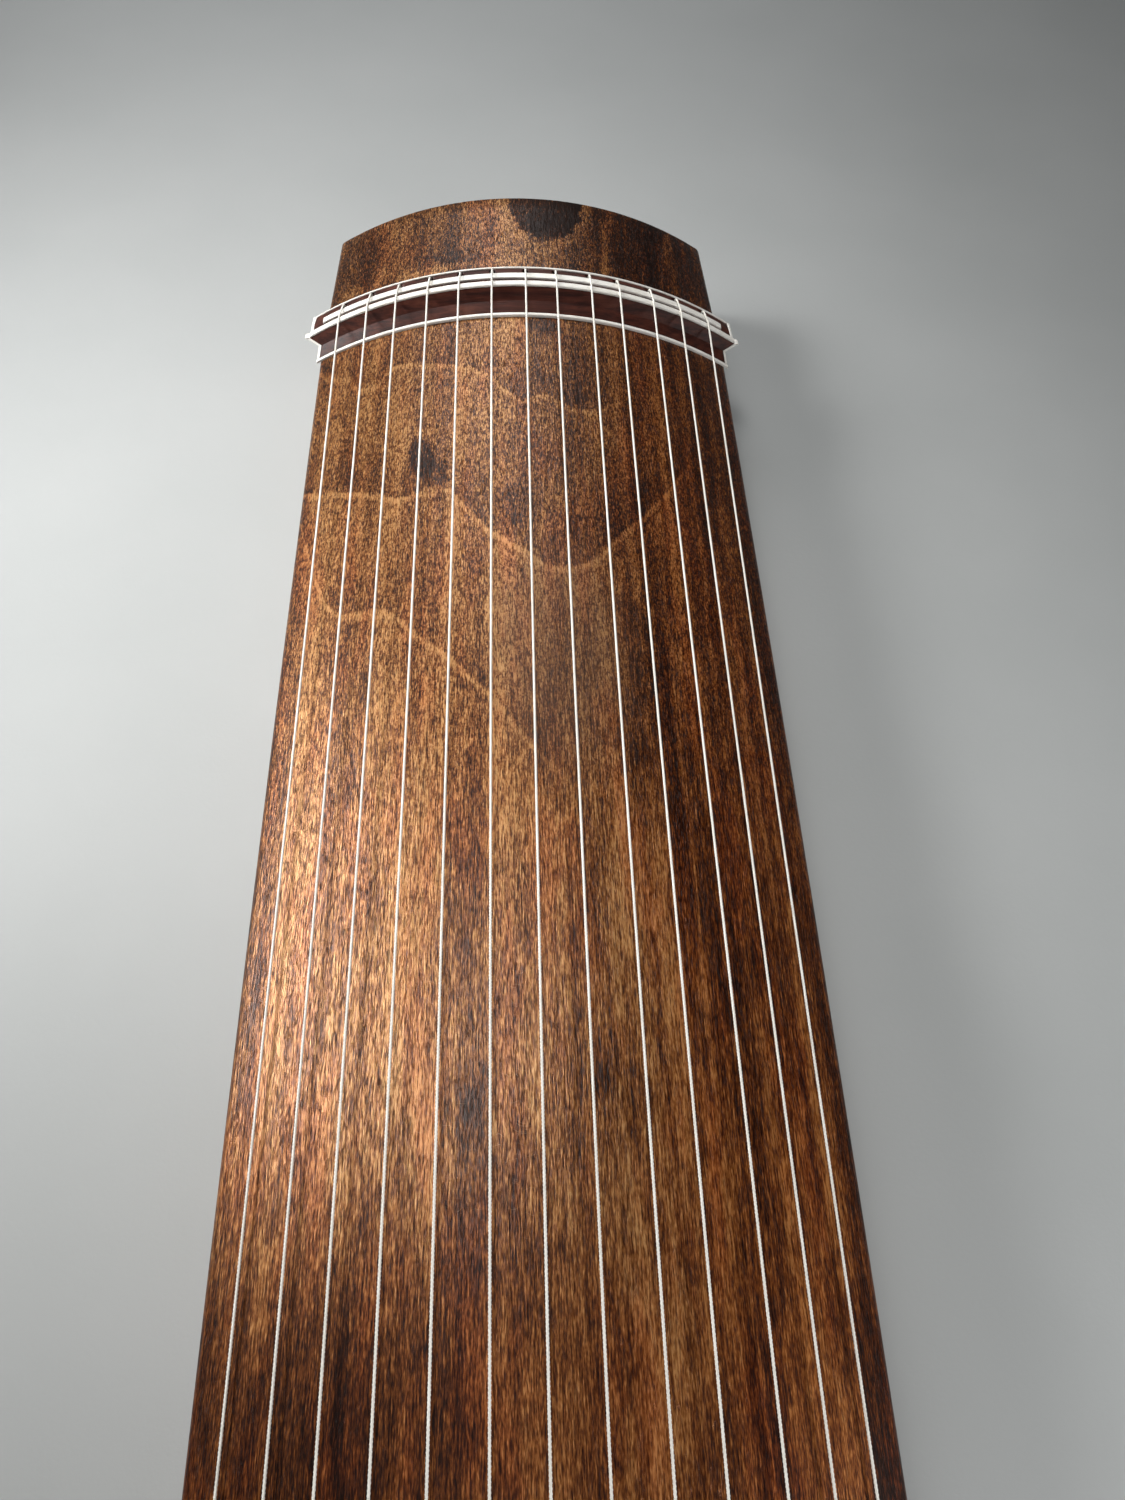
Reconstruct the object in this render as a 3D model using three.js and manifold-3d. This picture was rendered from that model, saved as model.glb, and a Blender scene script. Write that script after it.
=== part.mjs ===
// Thirteen-string long board zither (koto form). Millimetres, +Z up.
// X runs across the instrument, +Y runs along it towards the head, +Z is up from the soundboard.
// The origin is at the centre of the footprint, on the plane of the feet's soles.
import * as THREE from 'three';
import { mergeVertices } from 'three/addons/utils/BufferGeometryUtils.js';
import Module from 'manifold-3d';

const wasm = await Module();
wasm.setup();

// ---- driving dimensions -------------------------------------------------------------------
const HEAD_END_Y = 910; // wood's end at the head
const TAIL_END_Y = -908.3; // wood's end at the tail; the strings pass round it
const HEAD_CREST_Y = 806; // string bearing line of the head saddle
const TAIL_CREST_Y = -738; // string bearing line of the tail saddle
const SPAN = HEAD_CREST_Y - TAIL_CREST_Y;
const REF_HALF_WIDTH = 127.5; // half of the body's width at the head saddle
const CROWN = 36.1; // how far the soundboard's edge lies below its centre
const ARCH = 8; // lengthwise rise of the soundboard between the saddles
const BOARD_TOP_Z = 87.3; // soundboard centre at the saddles
const TOP_THICKNESS = 20;
const SIDE_THICKNESS = 10;
const INNER_SIDE_Z = 41; // height of the hollow at the side walls
const BACK_BOTTOM_Z = 9;
const BACK_TOP_Z = 18;
const GAP = 0.3; // glue line or clearance between touching pieces
const STRING_R = 0.65;
const STRING_HOLE_R = 1.9;
const STRING_RISE = 13.45; // string centre above the board at the crests
const HOLE_OFFSET = 17; // string holes behind the crest line
const HEAD_STRING_X = [-114.6, -96.4, -78.2, -58.8, -39.9, -20, 0.5, 19.2, 40.4, 58.1, 79.3, 97.2, 115.9];
const TAIL_STRING_X = [-119.3, -100.8, -83, -64.5, -44.2, -22, -2.3, 19.8, 41.6, 61.4, 83.9, 102.2, 117.2];
const HEAD_HOLE_SPREAD = 0.98; // hole position as a share of the string's place on the crest
const TAIL_HOLE_SPREAD = 0.9;
const SOUND_HOLE = { halfX: 58, halfY: 44, corner: 12, headY: 790, tailY: -800 };
const TOGGLE_R = 2.5;
const TOGGLE_LEN = 16;
const FOOT_H = 8.7;
const COIL = { x: 50, y: -832, r: 32, tube: 5.5 };

// ---- colours and finishes -----------------------------------------------------------------
const finish = (color, roughness, metalness = 0) => () => new THREE.MeshStandardMaterial({ color, roughness, metalness });
const paulownia = finish(0x7d5236, 0.5);
const rawWood = finish(0xb08a62, 0.75);
const rosewood = finish(0x3b1a17, 0.4);
const ivory = finish(0xefe9dc, 0.35);
const stringWhite = finish(0xe9e6df, 0.55);
const paper = finish(0xd8cfb8, 0.8);

const group = new THREE.Group();
const put = (name, geometry, material) => {
  const mesh = new THREE.Mesh(geometry, material());
  mesh.name = name;
  group.add(mesh);
  return mesh;
};

// ---- shape of the body --------------------------------------------------------------------
// Half of the body's width at a station along Y.
const halfWidth = (Y) => {
  const y = Y - HEAD_CREST_Y;
  if (y > 0) return (255 - 0.105 * y) / 2;
  const t = -y / SPAN;
  return (255 + 35.19 * t - 47.19 * t * t) / 2;
};
// Lengthwise rise of the soundboard's centre above BOARD_TOP_Z.
const arch = (Y) => {
  if (Y > HEAD_CREST_Y) return (-0.5 * (Y - HEAD_CREST_Y)) / (HEAD_END_Y - HEAD_CREST_Y);
  if (Y < TAIL_CREST_Y) return (-1.5 * (TAIL_CREST_Y - Y)) / (TAIL_CREST_Y - TAIL_END_Y);
  const t = (2 * (HEAD_CREST_Y - Y)) / SPAN - 1;
  return ARCH * (1 - t * t);
};
const CROWN_R = (REF_HALF_WIDTH ** 2 + CROWN ** 2) / (2 * CROWN);
const drop = (x, Y) => {
  const s = (x / halfWidth(Y)) * REF_HALF_WIDTH;
  return CROWN_R - Math.sqrt(CROWN_R ** 2 - s * s);
};
const topZ = (x, Y) => BOARD_TOP_Z + arch(Y) - drop(x, Y);
const INNER_HALF = REF_HALF_WIDTH - SIDE_THICKNESS;
const INNER_TOP_Z = BOARD_TOP_Z - TOP_THICKNESS;
const INNER_RISE = INNER_TOP_Z - INNER_SIDE_Z;
const INNER_R = (INNER_HALF ** 2 + INNER_RISE ** 2) / (2 * INNER_RISE);
const innerZ = (x, Y) => {
  const s = (x / halfWidth(Y)) * REF_HALF_WIDTH;
  return INNER_TOP_Z + arch(Y) - (INNER_R - Math.sqrt(INNER_R ** 2 - s * s));
};
const STATIONS = [HEAD_END_Y, 806, 700, 560, 400, 220, 34, -150, -330, -490, -630, -738, -820, TAIL_END_Y];

// ---- geometry helpers ---------------------------------------------------------------------
const tidy = (geometry) => {
  geometry.deleteAttribute('normal');
  geometry.deleteAttribute('uv');
  const merged = mergeVertices(geometry, 1e-4);
  merged.computeVertexNormals();
  return merged;
};
const toSolid = (geometry) => {
  const g = geometry.clone();
  g.deleteAttribute('normal');
  g.deleteAttribute('uv');
  const m = mergeVertices(g, 1e-4);
  return new wasm.Manifold(new wasm.Mesh({
    numProp: 3,
    vertProperties: new Float32Array(m.attributes.position.array),
    triVerts: new Uint32Array(m.index.array),
  }));
};
const toGeometry = (solid) => {
  const mesh = solid.getMesh();
  const g = new THREE.BufferGeometry();
  g.setAttribute('position', new THREE.BufferAttribute(new Float32Array(mesh.vertProperties), 3));
  g.setIndex(new THREE.BufferAttribute(new Uint32Array(mesh.triVerts), 1));
  g.computeVertexNormals();
  return g;
};
const reshape = (geometry, move) => {
  const p = geometry.attributes.position;
  for (let i = 0; i < p.count; i++) {
    const [x, y, z] = move(p.getX(i), p.getY(i), p.getZ(i));
    p.setXYZ(i, x, y, z);
  }
  return tidy(geometry);
};
const polygon = (points) => new THREE.Shape(points.map(([a, b]) => new THREE.Vector2(a, b)));
// An outline in X and Z, carried along the stations from the head towards the tail.
const alongY = (shape, stations, place) => {
  const steps = stations.length - 1;
  const g = new THREE.ExtrudeGeometry(shape, { depth: steps, steps, bevelEnabled: false, curveSegments: 3 });
  return reshape(g, (a, b, c) => {
    const k = Math.min(steps, Math.max(0, c));
    const i = Math.min(steps - 1, Math.floor(k + 1e-6));
    const Y = stations[i] + (stations[i + 1] - stations[i]) * (k - i);
    return place(a, Y, b);
  });
};
// An outline in Y and Z, carried across X from u = -1 to u = +1.
const acrossX = (points, steps, place) => {
  const g = new THREE.ExtrudeGeometry(polygon(points), { depth: steps, steps, bevelEnabled: false });
  return reshape(g, (a, b, c) => place((2 * c) / steps - 1, a, b));
};
const roundedRect = (hx, hy, r, cx = 0, cy = 0) => {
  const s = new THREE.Shape();
  s.moveTo(cx - hx + r, cy - hy);
  s.lineTo(cx + hx - r, cy - hy);
  s.absarc(cx + hx - r, cy - hy + r, r, -Math.PI / 2, 0, false);
  s.lineTo(cx + hx, cy + hy - r);
  s.absarc(cx + hx - r, cy + hy - r, r, 0, Math.PI / 2, false);
  s.lineTo(cx - hx + r, cy + hy);
  s.absarc(cx - hx + r, cy + hy - r, r, Math.PI / 2, Math.PI, false);
  s.lineTo(cx - hx, cy - hy + r);
  s.absarc(cx - hx + r, cy - hy + r, r, Math.PI, 1.5 * Math.PI, false);
  return s;
};
// A flat-bottomed outline with a crowned top: points from the lower left, counter-clockwise.
const crowned = (half, bottom, side, top, n) => {
  const rise = top - side;
  const r = (half * half + rise * rise) / (2 * rise);
  const pts = [[-half, bottom], [half, bottom]];
  for (let i = 0; i <= n; i++) {
    const x = half * (1 - (2 * i) / n);
    pts.push([x, top - (r - Math.sqrt(r * r - x * x))]);
  }
  return pts;
};

// ---- body ---------------------------------------------------------------------------------
{
  const outer = crowned(REF_HALF_WIDTH, BACK_TOP_Z + GAP, BOARD_TOP_Z - CROWN, BOARD_TOP_Z, 22).slice(1);
  const inner = crowned(INNER_HALF, BACK_TOP_Z + GAP, INNER_SIDE_Z, INNER_TOP_Z, 10).slice(1);
  const outline = [...outer, [-REF_HALF_WIDTH, BACK_TOP_Z + GAP], [-INNER_HALF, BACK_TOP_Z + GAP], ...inner.reverse()];
  const shell = alongY(polygon(outline), STATIONS, (x, Y, z) => [
    (x * halfWidth(Y)) / REF_HALF_WIDTH, Y, z > BACK_TOP_Z + 1 ? z + arch(Y) : z,
  ]);
  let solid = toSolid(shell);
  const drill = new THREE.CylinderGeometry(STRING_HOLE_R, STRING_HOLE_R, 80, 6);
  drill.rotateX(Math.PI / 2);
  const holes = [];
  for (let i = 0; i < 13; i++) {
    holes.push([HEAD_STRING_X[i] * HEAD_HOLE_SPREAD, HEAD_CREST_Y + HOLE_OFFSET]);
    holes.push([TAIL_STRING_X[i] * TAIL_HOLE_SPREAD, TAIL_CREST_Y - HOLE_OFFSET]);
  }
  for (const [x, Y] of holes) {
    const g = drill.clone();
    g.translate(x, Y, 75);
    solid = solid.subtract(toSolid(g));
  }
  put('top_shell', toGeometry(solid), paulownia);
}
{
  const plate = alongY(
    polygon([[-REF_HALF_WIDTH, BACK_BOTTOM_Z], [REF_HALF_WIDTH, BACK_BOTTOM_Z], [REF_HALF_WIDTH, BACK_TOP_Z], [-REF_HALF_WIDTH, BACK_TOP_Z]]),
    STATIONS,
    (x, Y, z) => [(x * halfWidth(Y)) / REF_HALF_WIDTH, Y, z],
  );
  let solid = toSolid(plate);
  for (const Y of [SOUND_HOLE.headY, SOUND_HOLE.tailY]) {
    const cutter = new THREE.ExtrudeGeometry(roundedRect(SOUND_HOLE.halfX, SOUND_HOLE.halfY, SOUND_HOLE.corner, 0, Y), { depth: 30, bevelEnabled: false, curveSegments: 4 });
    solid = solid.subtract(toSolid(cutter));
  }
  put('back_board', toGeometry(solid), paulownia);
}
// Cross boards fit the hollow, with clearance all round.
const crossBoard = (name, yFront, yBack, window, material) => {
  const Y = (yFront + yBack) / 2;
  const k = Math.min(halfWidth(yFront), halfWidth(yBack)) / REF_HALF_WIDTH;
  const low = Math.min(arch(yFront), arch(yBack));
  const shape = polygon(crowned(INNER_HALF * k - 0.5, BACK_TOP_Z + 2 * GAP, INNER_SIDE_Z + low - 0.6, INNER_TOP_Z + low - 0.5, 10));
  if (window) shape.holes.push(roundedRect(window, 11, 8, 0, 38));
  return put(name, alongY(shape, [yFront, yBack], (x, y, z) => [x, y, z]), material);
};
crossBoard('head_end_board', HEAD_END_Y - 4, HEAD_END_Y - 16, 0, paulownia);
crossBoard('tail_end_board', TAIL_END_Y + 14, TAIL_END_Y + 3, 0, paulownia);
crossBoard('bulkhead_head', 565, 555, 62, rawWood);
crossBoard('bulkhead_middle', 39, 29, 62, rawWood);
crossBoard('bulkhead_tail', -505, -515, 62, rawWood);

// Inlaid panel on the head's end face, inside a white border.
{
  const k = halfWidth(HEAD_END_Y) / REF_HALF_WIDTH;
  const half = INNER_HALF * k;
  const rim = (d) => crowned(half - d, BACK_TOP_Z + d, INNER_SIDE_Z - d * 0.6, INNER_TOP_Z - 0.5 - d, 20);
  const border = polygon(rim(4));
  border.holes.push(polygon(rim(7.2)));
  put('tongue_border', alongY(border, [HEAD_END_Y - 1.4, HEAD_END_Y - 3.7], (x, y, z) => [x, y, z]), ivory);
  put('tongue_panel', alongY(polygon(rim(7.6)), [HEAD_END_Y - 1.9, HEAD_END_Y - 3.7], (x, y, z) => [x, y, z]), rosewood);
}

// ---- saddles ------------------------------------------------------------------------------
// Profiles are given as [distance behind the crest line, height above the soundboard].
const CROSS_STEPS = 20;
const WING_TIP = 8.2; // how far the crest runs past the body's side
const NOTCH_Z = 5; // height of the fold between the two front facets
const bodyHalf = (Y) => halfWidth(Y > 0 ? HEAD_CREST_Y : TAIL_CREST_Y);
const lowerEnd = (z, Y) => bodyHalf(Y) + 1.2 - (2 * z) / NOTCH_Z;
const upperEnd = (z, Y) => bodyHalf(Y) - 0.8 + ((WING_TIP + 0.8) * (z - NOTCH_Z)) / (12.5 - NOTCH_Z);
const saddle = (prefix, crestY, dir) => {
  const at = (b) => crestY + dir * b;
  // u runs across the bar; b and z are the profile's coordinates; end gives the half length at a height.
  const strip = (profile, steps, end) => {
    const pts = profile.map(([b, z]) => [at(b), z]);
    return acrossX(pts, steps, (u, Y, z) => {
      const x = u * end(z, Y);
      return [x, Y, topZ(x, crestY) + (arch(Y) - arch(crestY)) + z];
    });
  };
  const lower = strip([[-11.4, 0.4], [-11.4, 1.4], [-5.1, NOTCH_Z], [20.6, NOTCH_Z], [20.6, 0.4]], CROSS_STEPS, lowerEnd);
  const upper = strip([[-4.9, NOTCH_Z - 0.3], [-0.2, 11], [4.4, 11], [4.4, 9.9], [13.4, 9.7], [20.6, 8.9], [20.6, NOTCH_Z - 0.3]], CROSS_STEPS, upperEnd);
  let bar = toSolid(lower).add(toSolid(upper));
  const spread = dir > 0 ? HEAD_HOLE_SPREAD : TAIL_HOLE_SPREAD;
  const places = dir > 0 ? HEAD_STRING_X : TAIL_STRING_X;
  const drill = new THREE.CylinderGeometry(STRING_HOLE_R, STRING_HOLE_R, 120, 6);
  drill.rotateX(Math.PI / 2);
  for (const px of places) {
    const g = drill.clone();
    g.translate(px * spread, at(HOLE_OFFSET), 75);
    bar = bar.subtract(toSolid(g));
  }
  put(`${prefix}_bar`, toGeometry(bar), rosewood);
  put(`${prefix}_crest`, strip([[0, 11.3], [0.1, 12.2], [0.5, 12.5], [3.8, 12.5], [4.2, 12.2], [4.2, 11.3]], CROSS_STEPS, (z, Y) => upperEnd(11.3, Y)), ivory);
  put(`${prefix}_foot_line`, strip([[-14.1, 0.4], [-14.1, 1.9], [-11.8, 1.9], [-11.8, 0.4]], CROSS_STEPS, (z, Y) => lowerEnd(0, Y) + 1.4), ivory);
  put(`${prefix}_second_band`, strip([[8.6, 10.15], [8.6, 11.1], [13.1, 11.1], [13.1, 10.15]], CROSS_STEPS, (z, Y) => lowerEnd(0, Y) - 2.7), ivory);
  put(`${prefix}_rear_line`, strip([[19.2, 9.4], [19.2, 9.85], [20.5, 9.75], [20.5, 9.3]], CROSS_STEPS, (z, Y) => upperEnd(9.2, Y)), ivory);
  // End plates cover the bar's ends and fold over the notch.
  for (const [side, s] of [['left', -1], ['right', 1]]) {
    const plate = (profile, end) => {
      const pts = profile.map(([b, z]) => [at(b), z]);
      const g = new THREE.ExtrudeGeometry(polygon(pts), { depth: 1, steps: 1, bevelEnabled: false });
      return reshape(g, (a, b, c) => {
        const x = s * (end(b, a) + GAP + 1.3 * (s > 0 ? c : 1 - c));
        return [x, a, topZ(x, crestY) + (arch(a) - arch(crestY)) + b];
      });
    };
    const low = plate([[-11.4, 0.8], [-11.4, 1.4], [-5.1, NOTCH_Z + 0.15], [20.6, NOTCH_Z + 0.15], [20.6, 0.8]], lowerEnd);
    const high = plate([[-5, NOTCH_Z], [0, 11.3], [0.1, 12.5], [4.2, 12.5], [4.6, 10.4], [20.6, 9.6], [20.6, NOTCH_Z]], upperEnd);
    let cap = toSolid(low).add(toSolid(high));
    // Clear of the foot line, which runs on past the bar's end.
    const clear = new THREE.BoxGeometry(40, 3.4, 40);
    clear.translate(s * lowerEnd(0, crestY), at(-12.8), topZ(lowerEnd(0, crestY), crestY));
    cap = cap.subtract(toSolid(clear));
    put(`${prefix}_cap_${side}`, toGeometry(cap), ivory);
  }
};
saddle('head_saddle', HEAD_CREST_Y, 1);
saddle('tail_saddle', TAIL_CREST_Y, -1);

// ---- tail panel, with a lobed front edge -------------------------------------------------
const PANEL_REAR_Y = TAIL_END_Y + 3.5;
const panelFront = (u) => {
  const a = Math.abs(u);
  return -772 - 12 * a * a - 5 * Math.abs(Math.sin(2.5 * Math.PI * a + Math.PI / 2));
};
// A thin sheet that follows the crown: front and rear edges are given along u, from -1 to +1 across.
const overTail = (zLow, zHigh, n, front, rear, inset) => {
  const section = [[-1, zLow], [0, zLow], [0, zHigh], [-1, zHigh]];
  return acrossX(section, n, (u, a, z) => {
    const Y = front(u) + (rear(u) - front(u)) * -a;
    const x = u * (halfWidth(Y) - inset);
    return [x, Y, topZ(x, Y) + z];
  });
};
put('tail_panel', overTail(0.45, 1.8, 30, panelFront, () => PANEL_REAR_Y, 6), rosewood);
put('tail_panel_edge', overTail(0.45, 2, 30, (u) => panelFront(u) + 1.9, (u) => panelFront(u) + 0.4, 6), ivory);

// ---- feet ---------------------------------------------------------------------------------
const foot = (name, x, Y, lx, ly) => {
  const g = new THREE.ExtrudeGeometry(roundedRect(lx / 2, ly / 2, 5, x, Y), { depth: FOOT_H, bevelEnabled: false, curveSegments: 2 });
  return put(name, tidy(g), rosewood);
};
foot('head_foot_left', -88, 868, 44, 24);
foot('head_foot_right', 88, 868, 44, 24);
foot('tail_foot_left', -99, -866, 28, 26);
foot('tail_foot_right', 99, -866, 28, 26);

// ---- strings ------------------------------------------------------------------------------
// A round cord that follows its corner points, one section at each.
class CordPath extends THREE.Curve {
  constructor(points) {
    super();
    this.points = points.map((p) => new THREE.Vector3(...p));
  }
  at(u) {
    return Math.min(this.points.length - 1, Math.round(u * (this.points.length - 1)));
  }
  getPoint(u, target = new THREE.Vector3()) {
    return target.copy(this.points[this.at(u)]);
  }
  getPointAt(u, target) {
    return this.getPoint(u, target);
  }
  getSpacedPoints() {
    return this.points.map((p) => p.clone());
  }
  getTangent(u, target = new THREE.Vector3()) {
    const i = this.at(u);
    const before = this.points[Math.max(0, i - 1)];
    const here = this.points[i];
    const after = this.points[Math.min(this.points.length - 1, i + 1)];
    const a = here.clone().sub(before).normalize();
    const b = after.clone().sub(here).normalize();
    return target.copy(a.add(b)).normalize();
  }
  getTangentAt(u, target) {
    return this.getTangent(u, target);
  }
}
const tube = (points, radius, sides) => {
  const section = [];
  for (let i = 0; i < sides; i++) {
    const a = (2 * Math.PI * i) / sides;
    section.push([radius * Math.cos(a), radius * Math.sin(a)]);
  }
  const path = new CordPath(points);
  return tidy(new THREE.ExtrudeGeometry(polygon(section), { steps: points.length - 1, extrudePath: path, bevelEnabled: false }));
};
const pad = (i) => String(i + 1).padStart(2, '0');
const SPREAD_AT_SOUND_HOLE = 7.4; // string spacing where they leave the tail sound hole
const SPREAD_AT_TAIL_END = 16; // string spacing round the tail end
for (let i = 0; i < 13; i++) {
  const n = i - 6;
  const xc = HEAD_STRING_X[i];
  const xh = xc * HEAD_HOLE_SPREAD;
  const xt = TAIL_STRING_X[i];
  const xd = xt * TAIL_HOLE_SPREAD;
  const xs = n * SPREAD_AT_SOUND_HOLE;
  const xe = n * SPREAD_AT_TAIL_END;
  const xr = xd + 2.7;
  const H = (x, b, z) => [x, HEAD_CREST_Y + b, topZ(x, HEAD_CREST_Y) + z];
  const T = (x, b, z) => [x, TAIL_CREST_Y - b, topZ(x, TAIL_CREST_Y) + z];
  const mix = (a, b, t) => a + (b - a) * t;
  const holeIn = innerZ(xh, HEAD_CREST_Y + HOLE_OFFSET);
  const over = (x, Y, z) => [x, Y, topZ(x, Y) + z];
  const soundRear = SOUND_HOLE.tailY - SOUND_HOLE.halfY;
  const pts = [
    [xh, HEAD_CREST_Y + HOLE_OFFSET, holeIn - 1],
    H(xh, HOLE_OFFSET - 0.1, 9.2),
    H(mix(xh, xc, 0.15), 15.2, 11.6),
    H(mix(xh, xc, 0.3), 13.3, 12.3),
    H(xc, 3.6, STRING_RISE),
    H(xc, 0, STRING_RISE),
    T(xt, 0, STRING_RISE),
    T(xt, 3.6, STRING_RISE),
    T(mix(xd, xt, 0.3), 13.3, 12.3),
    T(mix(xd, xt, 0.15), 15.3, 11.4),
    T(xd, HOLE_OFFSET - 0.1, 9.2),
    [xd, TAIL_CREST_Y - HOLE_OFFSET, innerZ(xd, TAIL_CREST_Y - HOLE_OFFSET) - 2],
    [mix(xd, xs, 0.08), TAIL_CREST_Y - HOLE_OFFSET - 4, innerZ(xd, TAIL_CREST_Y - HOLE_OFFSET) - 5],
    [mix(xd, xs, 0.95), soundRear + 4.5, 23],
    [xs, soundRear + 1.5, 16],
    [xs, soundRear + 1.4, 9],
    [mix(xs, xe, 0.02), soundRear - 0.3, 7.6],
    [mix(xs, xe, 0.08), soundRear - 4, 7.6],
    [mix(xs, xe, 0.98), TAIL_END_Y + 2.4, 7.6],
    [xe, TAIL_END_Y - 0.7, 7.9],
    [xe, TAIL_END_Y - 1.3, 9.6],
    [xe, TAIL_END_Y - 1.3, topZ(xe, TAIL_END_Y) - 1],
    over(xe, TAIL_END_Y - 0.6, 1.7),
    over(mix(xe, xr, 0.02), TAIL_END_Y + 2.4, 2.8),
    over(mix(xe, xr, 0.35), mix(TAIL_END_Y + 2.4, -763.5, 0.35), 2.8),
    over(mix(xe, xr, 0.7), mix(TAIL_END_Y + 2.4, -763.5, 0.7), 2.8),
    over(xr, -762.5, 3.4),
    over(xr, -760.4, 7),
    T(xr, 20.9, 10.4),
    T(xr, 19.6, 11),
    T(xr, 15.6, 10.9),
  ];
  put(`string_${pad(i)}`, tube(pts, STRING_R, 5), stringWhite);

  const toggle = new THREE.CylinderGeometry(TOGGLE_R, TOGGLE_R, TOGGLE_LEN, 8);
  const roll = put(`string_toggle_${pad(i)}`, tidy(toggle), paper);
  roll.position.set(xh, HEAD_CREST_Y + HOLE_OFFSET, holeIn - 1.4 - TOGGLE_R);
}

// ---- spare string ends, wound up on the tail panel ----------------------------------------
for (const [side, s] of [['left', -1], ['right', 1]]) {
  const ring = [];
  for (let i = 0; i <= 8; i++) {
    const a = (2 * Math.PI * i) / 8;
    ring.push(new THREE.Vector2(COIL.r + COIL.tube * Math.cos(a), COIL.tube * Math.sin(a)));
  }
  const cx = s * COIL.x;
  const tilt = Math.atan((topZ(cx + 1, COIL.y) - topZ(cx - 1, COIL.y)) / 2);
  const coil = new THREE.LatheGeometry(ring, 24);
  coil.rotateX(Math.PI / 2);
  const mesh = put(`spare_string_coil_${side}`, tidy(coil), stringWhite);
  const rise = 3.95 + COIL.tube;
  mesh.rotation.y = -tilt;
  mesh.position.set(cx - Math.sin(tilt) * rise, COIL.y, topZ(cx, COIL.y) + Math.cos(tilt) * rise);
  // The run from a hitch to the coil, over the strings that return across the panel.
  const i = s < 0 ? 3 : 9;
  const xd = TAIL_STRING_X[i] * TAIL_HOLE_SPREAD;
  const from = xd - 2.9;
  const to = cx - Math.sin(tilt) * rise;
  const ringZ = topZ(cx, COIL.y) + Math.cos(tilt) * rise;
  const edgeY = COIL.y + COIL.r + COIL.tube + 0.5;
  const w = (t) => from + (to - from) * t;
  const lead = [
    [from, TAIL_CREST_Y - 15.2, topZ(from, TAIL_CREST_Y) + 11],
    [from, TAIL_CREST_Y - 17.4, topZ(from, TAIL_CREST_Y) + 11],
    [from, TAIL_CREST_Y - 19.6, topZ(from, TAIL_CREST_Y) + 11.3],
    [w(0.05), TAIL_CREST_Y - 21.6, topZ(w(0.05), TAIL_CREST_Y) + 11.2],
    [w(0.12), TAIL_CREST_Y - 24, topZ(w(0.12), TAIL_CREST_Y) + 9.8],
    [w(0.25), TAIL_CREST_Y - 28, topZ(w(0.25), TAIL_CREST_Y) + 7.2],
    [w(0.4), TAIL_CREST_Y - 33, topZ(w(0.4), -771) + 5.6],
    [w(0.6), TAIL_CREST_Y - 40, topZ(w(0.6), -778) + 5.2],
    [w(0.8), TAIL_CREST_Y - 47, topZ(w(0.8), -785) + 5.9],
    [w(0.95), edgeY + 3, ringZ - 1.2],
    [to, edgeY, ringZ],
  ];
  put(`spare_string_lead_${side}`, tube(lead, STRING_R, 8), stringWhite);
}

export default group;
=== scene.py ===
# Long board zither: the looks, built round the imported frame. Shapes are worked out in millimetres and
# stored in metres. X across, +Y to the head, +Z up, origin on the plane of the soles.
import math

import bmesh
import bpy
import numpy as np
from mathutils import Matrix, Vector


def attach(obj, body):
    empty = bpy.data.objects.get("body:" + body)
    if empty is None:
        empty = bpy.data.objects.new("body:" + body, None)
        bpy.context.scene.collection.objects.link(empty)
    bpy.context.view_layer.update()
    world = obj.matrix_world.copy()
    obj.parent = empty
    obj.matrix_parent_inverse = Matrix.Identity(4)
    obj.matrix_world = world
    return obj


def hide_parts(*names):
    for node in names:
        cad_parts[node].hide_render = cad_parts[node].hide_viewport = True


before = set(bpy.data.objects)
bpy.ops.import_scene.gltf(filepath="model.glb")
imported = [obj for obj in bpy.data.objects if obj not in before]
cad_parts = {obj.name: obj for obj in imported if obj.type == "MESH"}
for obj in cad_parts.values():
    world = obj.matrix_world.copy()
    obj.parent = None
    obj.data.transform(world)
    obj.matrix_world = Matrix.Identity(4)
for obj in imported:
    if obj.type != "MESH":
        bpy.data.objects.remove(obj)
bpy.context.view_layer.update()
scene = bpy.context.scene
MM = 0.001

# ---- driving dimensions, as in the CAD source ----------------------------------------------
HEAD_END_Y, TAIL_END_Y = 910.0, -908.3
HEAD_CREST_Y, TAIL_CREST_Y = 806.0, -738.0
SPAN = HEAD_CREST_Y - TAIL_CREST_Y
REF_HALF_WIDTH, CROWN, ARCH, BOARD_TOP_Z = 127.5, 36.1, 8.0, 87.3
TOP_THICKNESS, SIDE_THICKNESS, INNER_SIDE_Z = 20.0, 10.0, 41.0
BACK_BOTTOM_Z, BACK_TOP_Z, GAP = 9.0, 18.0, 0.3
STRING_R, STRING_HOLE_R, HOLE_OFFSET = 0.65, 1.9, 17.0
CREST_TOP, STRING_RISE = 12.75, 13.42
HEAD_STRING_X = [-114.6, -96.4, -78.2, -58.8, -39.9, -20, 0.5, 19.2, 40.4, 58.1, 79.3, 97.2, 115.9]
TAIL_STRING_X = [-119.3, -100.8, -83, -64.5, -44.2, -22, -2.3, 19.8, 41.6, 61.4, 83.9, 102.2, 117.2]
HEAD_HOLE_SPREAD, TAIL_HOLE_SPREAD = 0.98, 0.9
SOUND_X, SOUND_Y, SOUND_CORNER, SOUND_HEAD_Y, SOUND_TAIL_Y = 58.0, 44.0, 12.0, 790.0, -800.0
WING_TIP, NOTCH_Z, FOOT_H = 8.2, 5.0, 8.7
COIL_X, COIL_Y, COIL_R = 50.0, -832.0, 32.0


def half_width(Y):
    y = Y - HEAD_CREST_Y
    if y > 0:
        return (255 - 0.105 * y) / 2
    t = -y / SPAN
    return (255 + 35.19 * t - 47.19 * t * t) / 2


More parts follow.
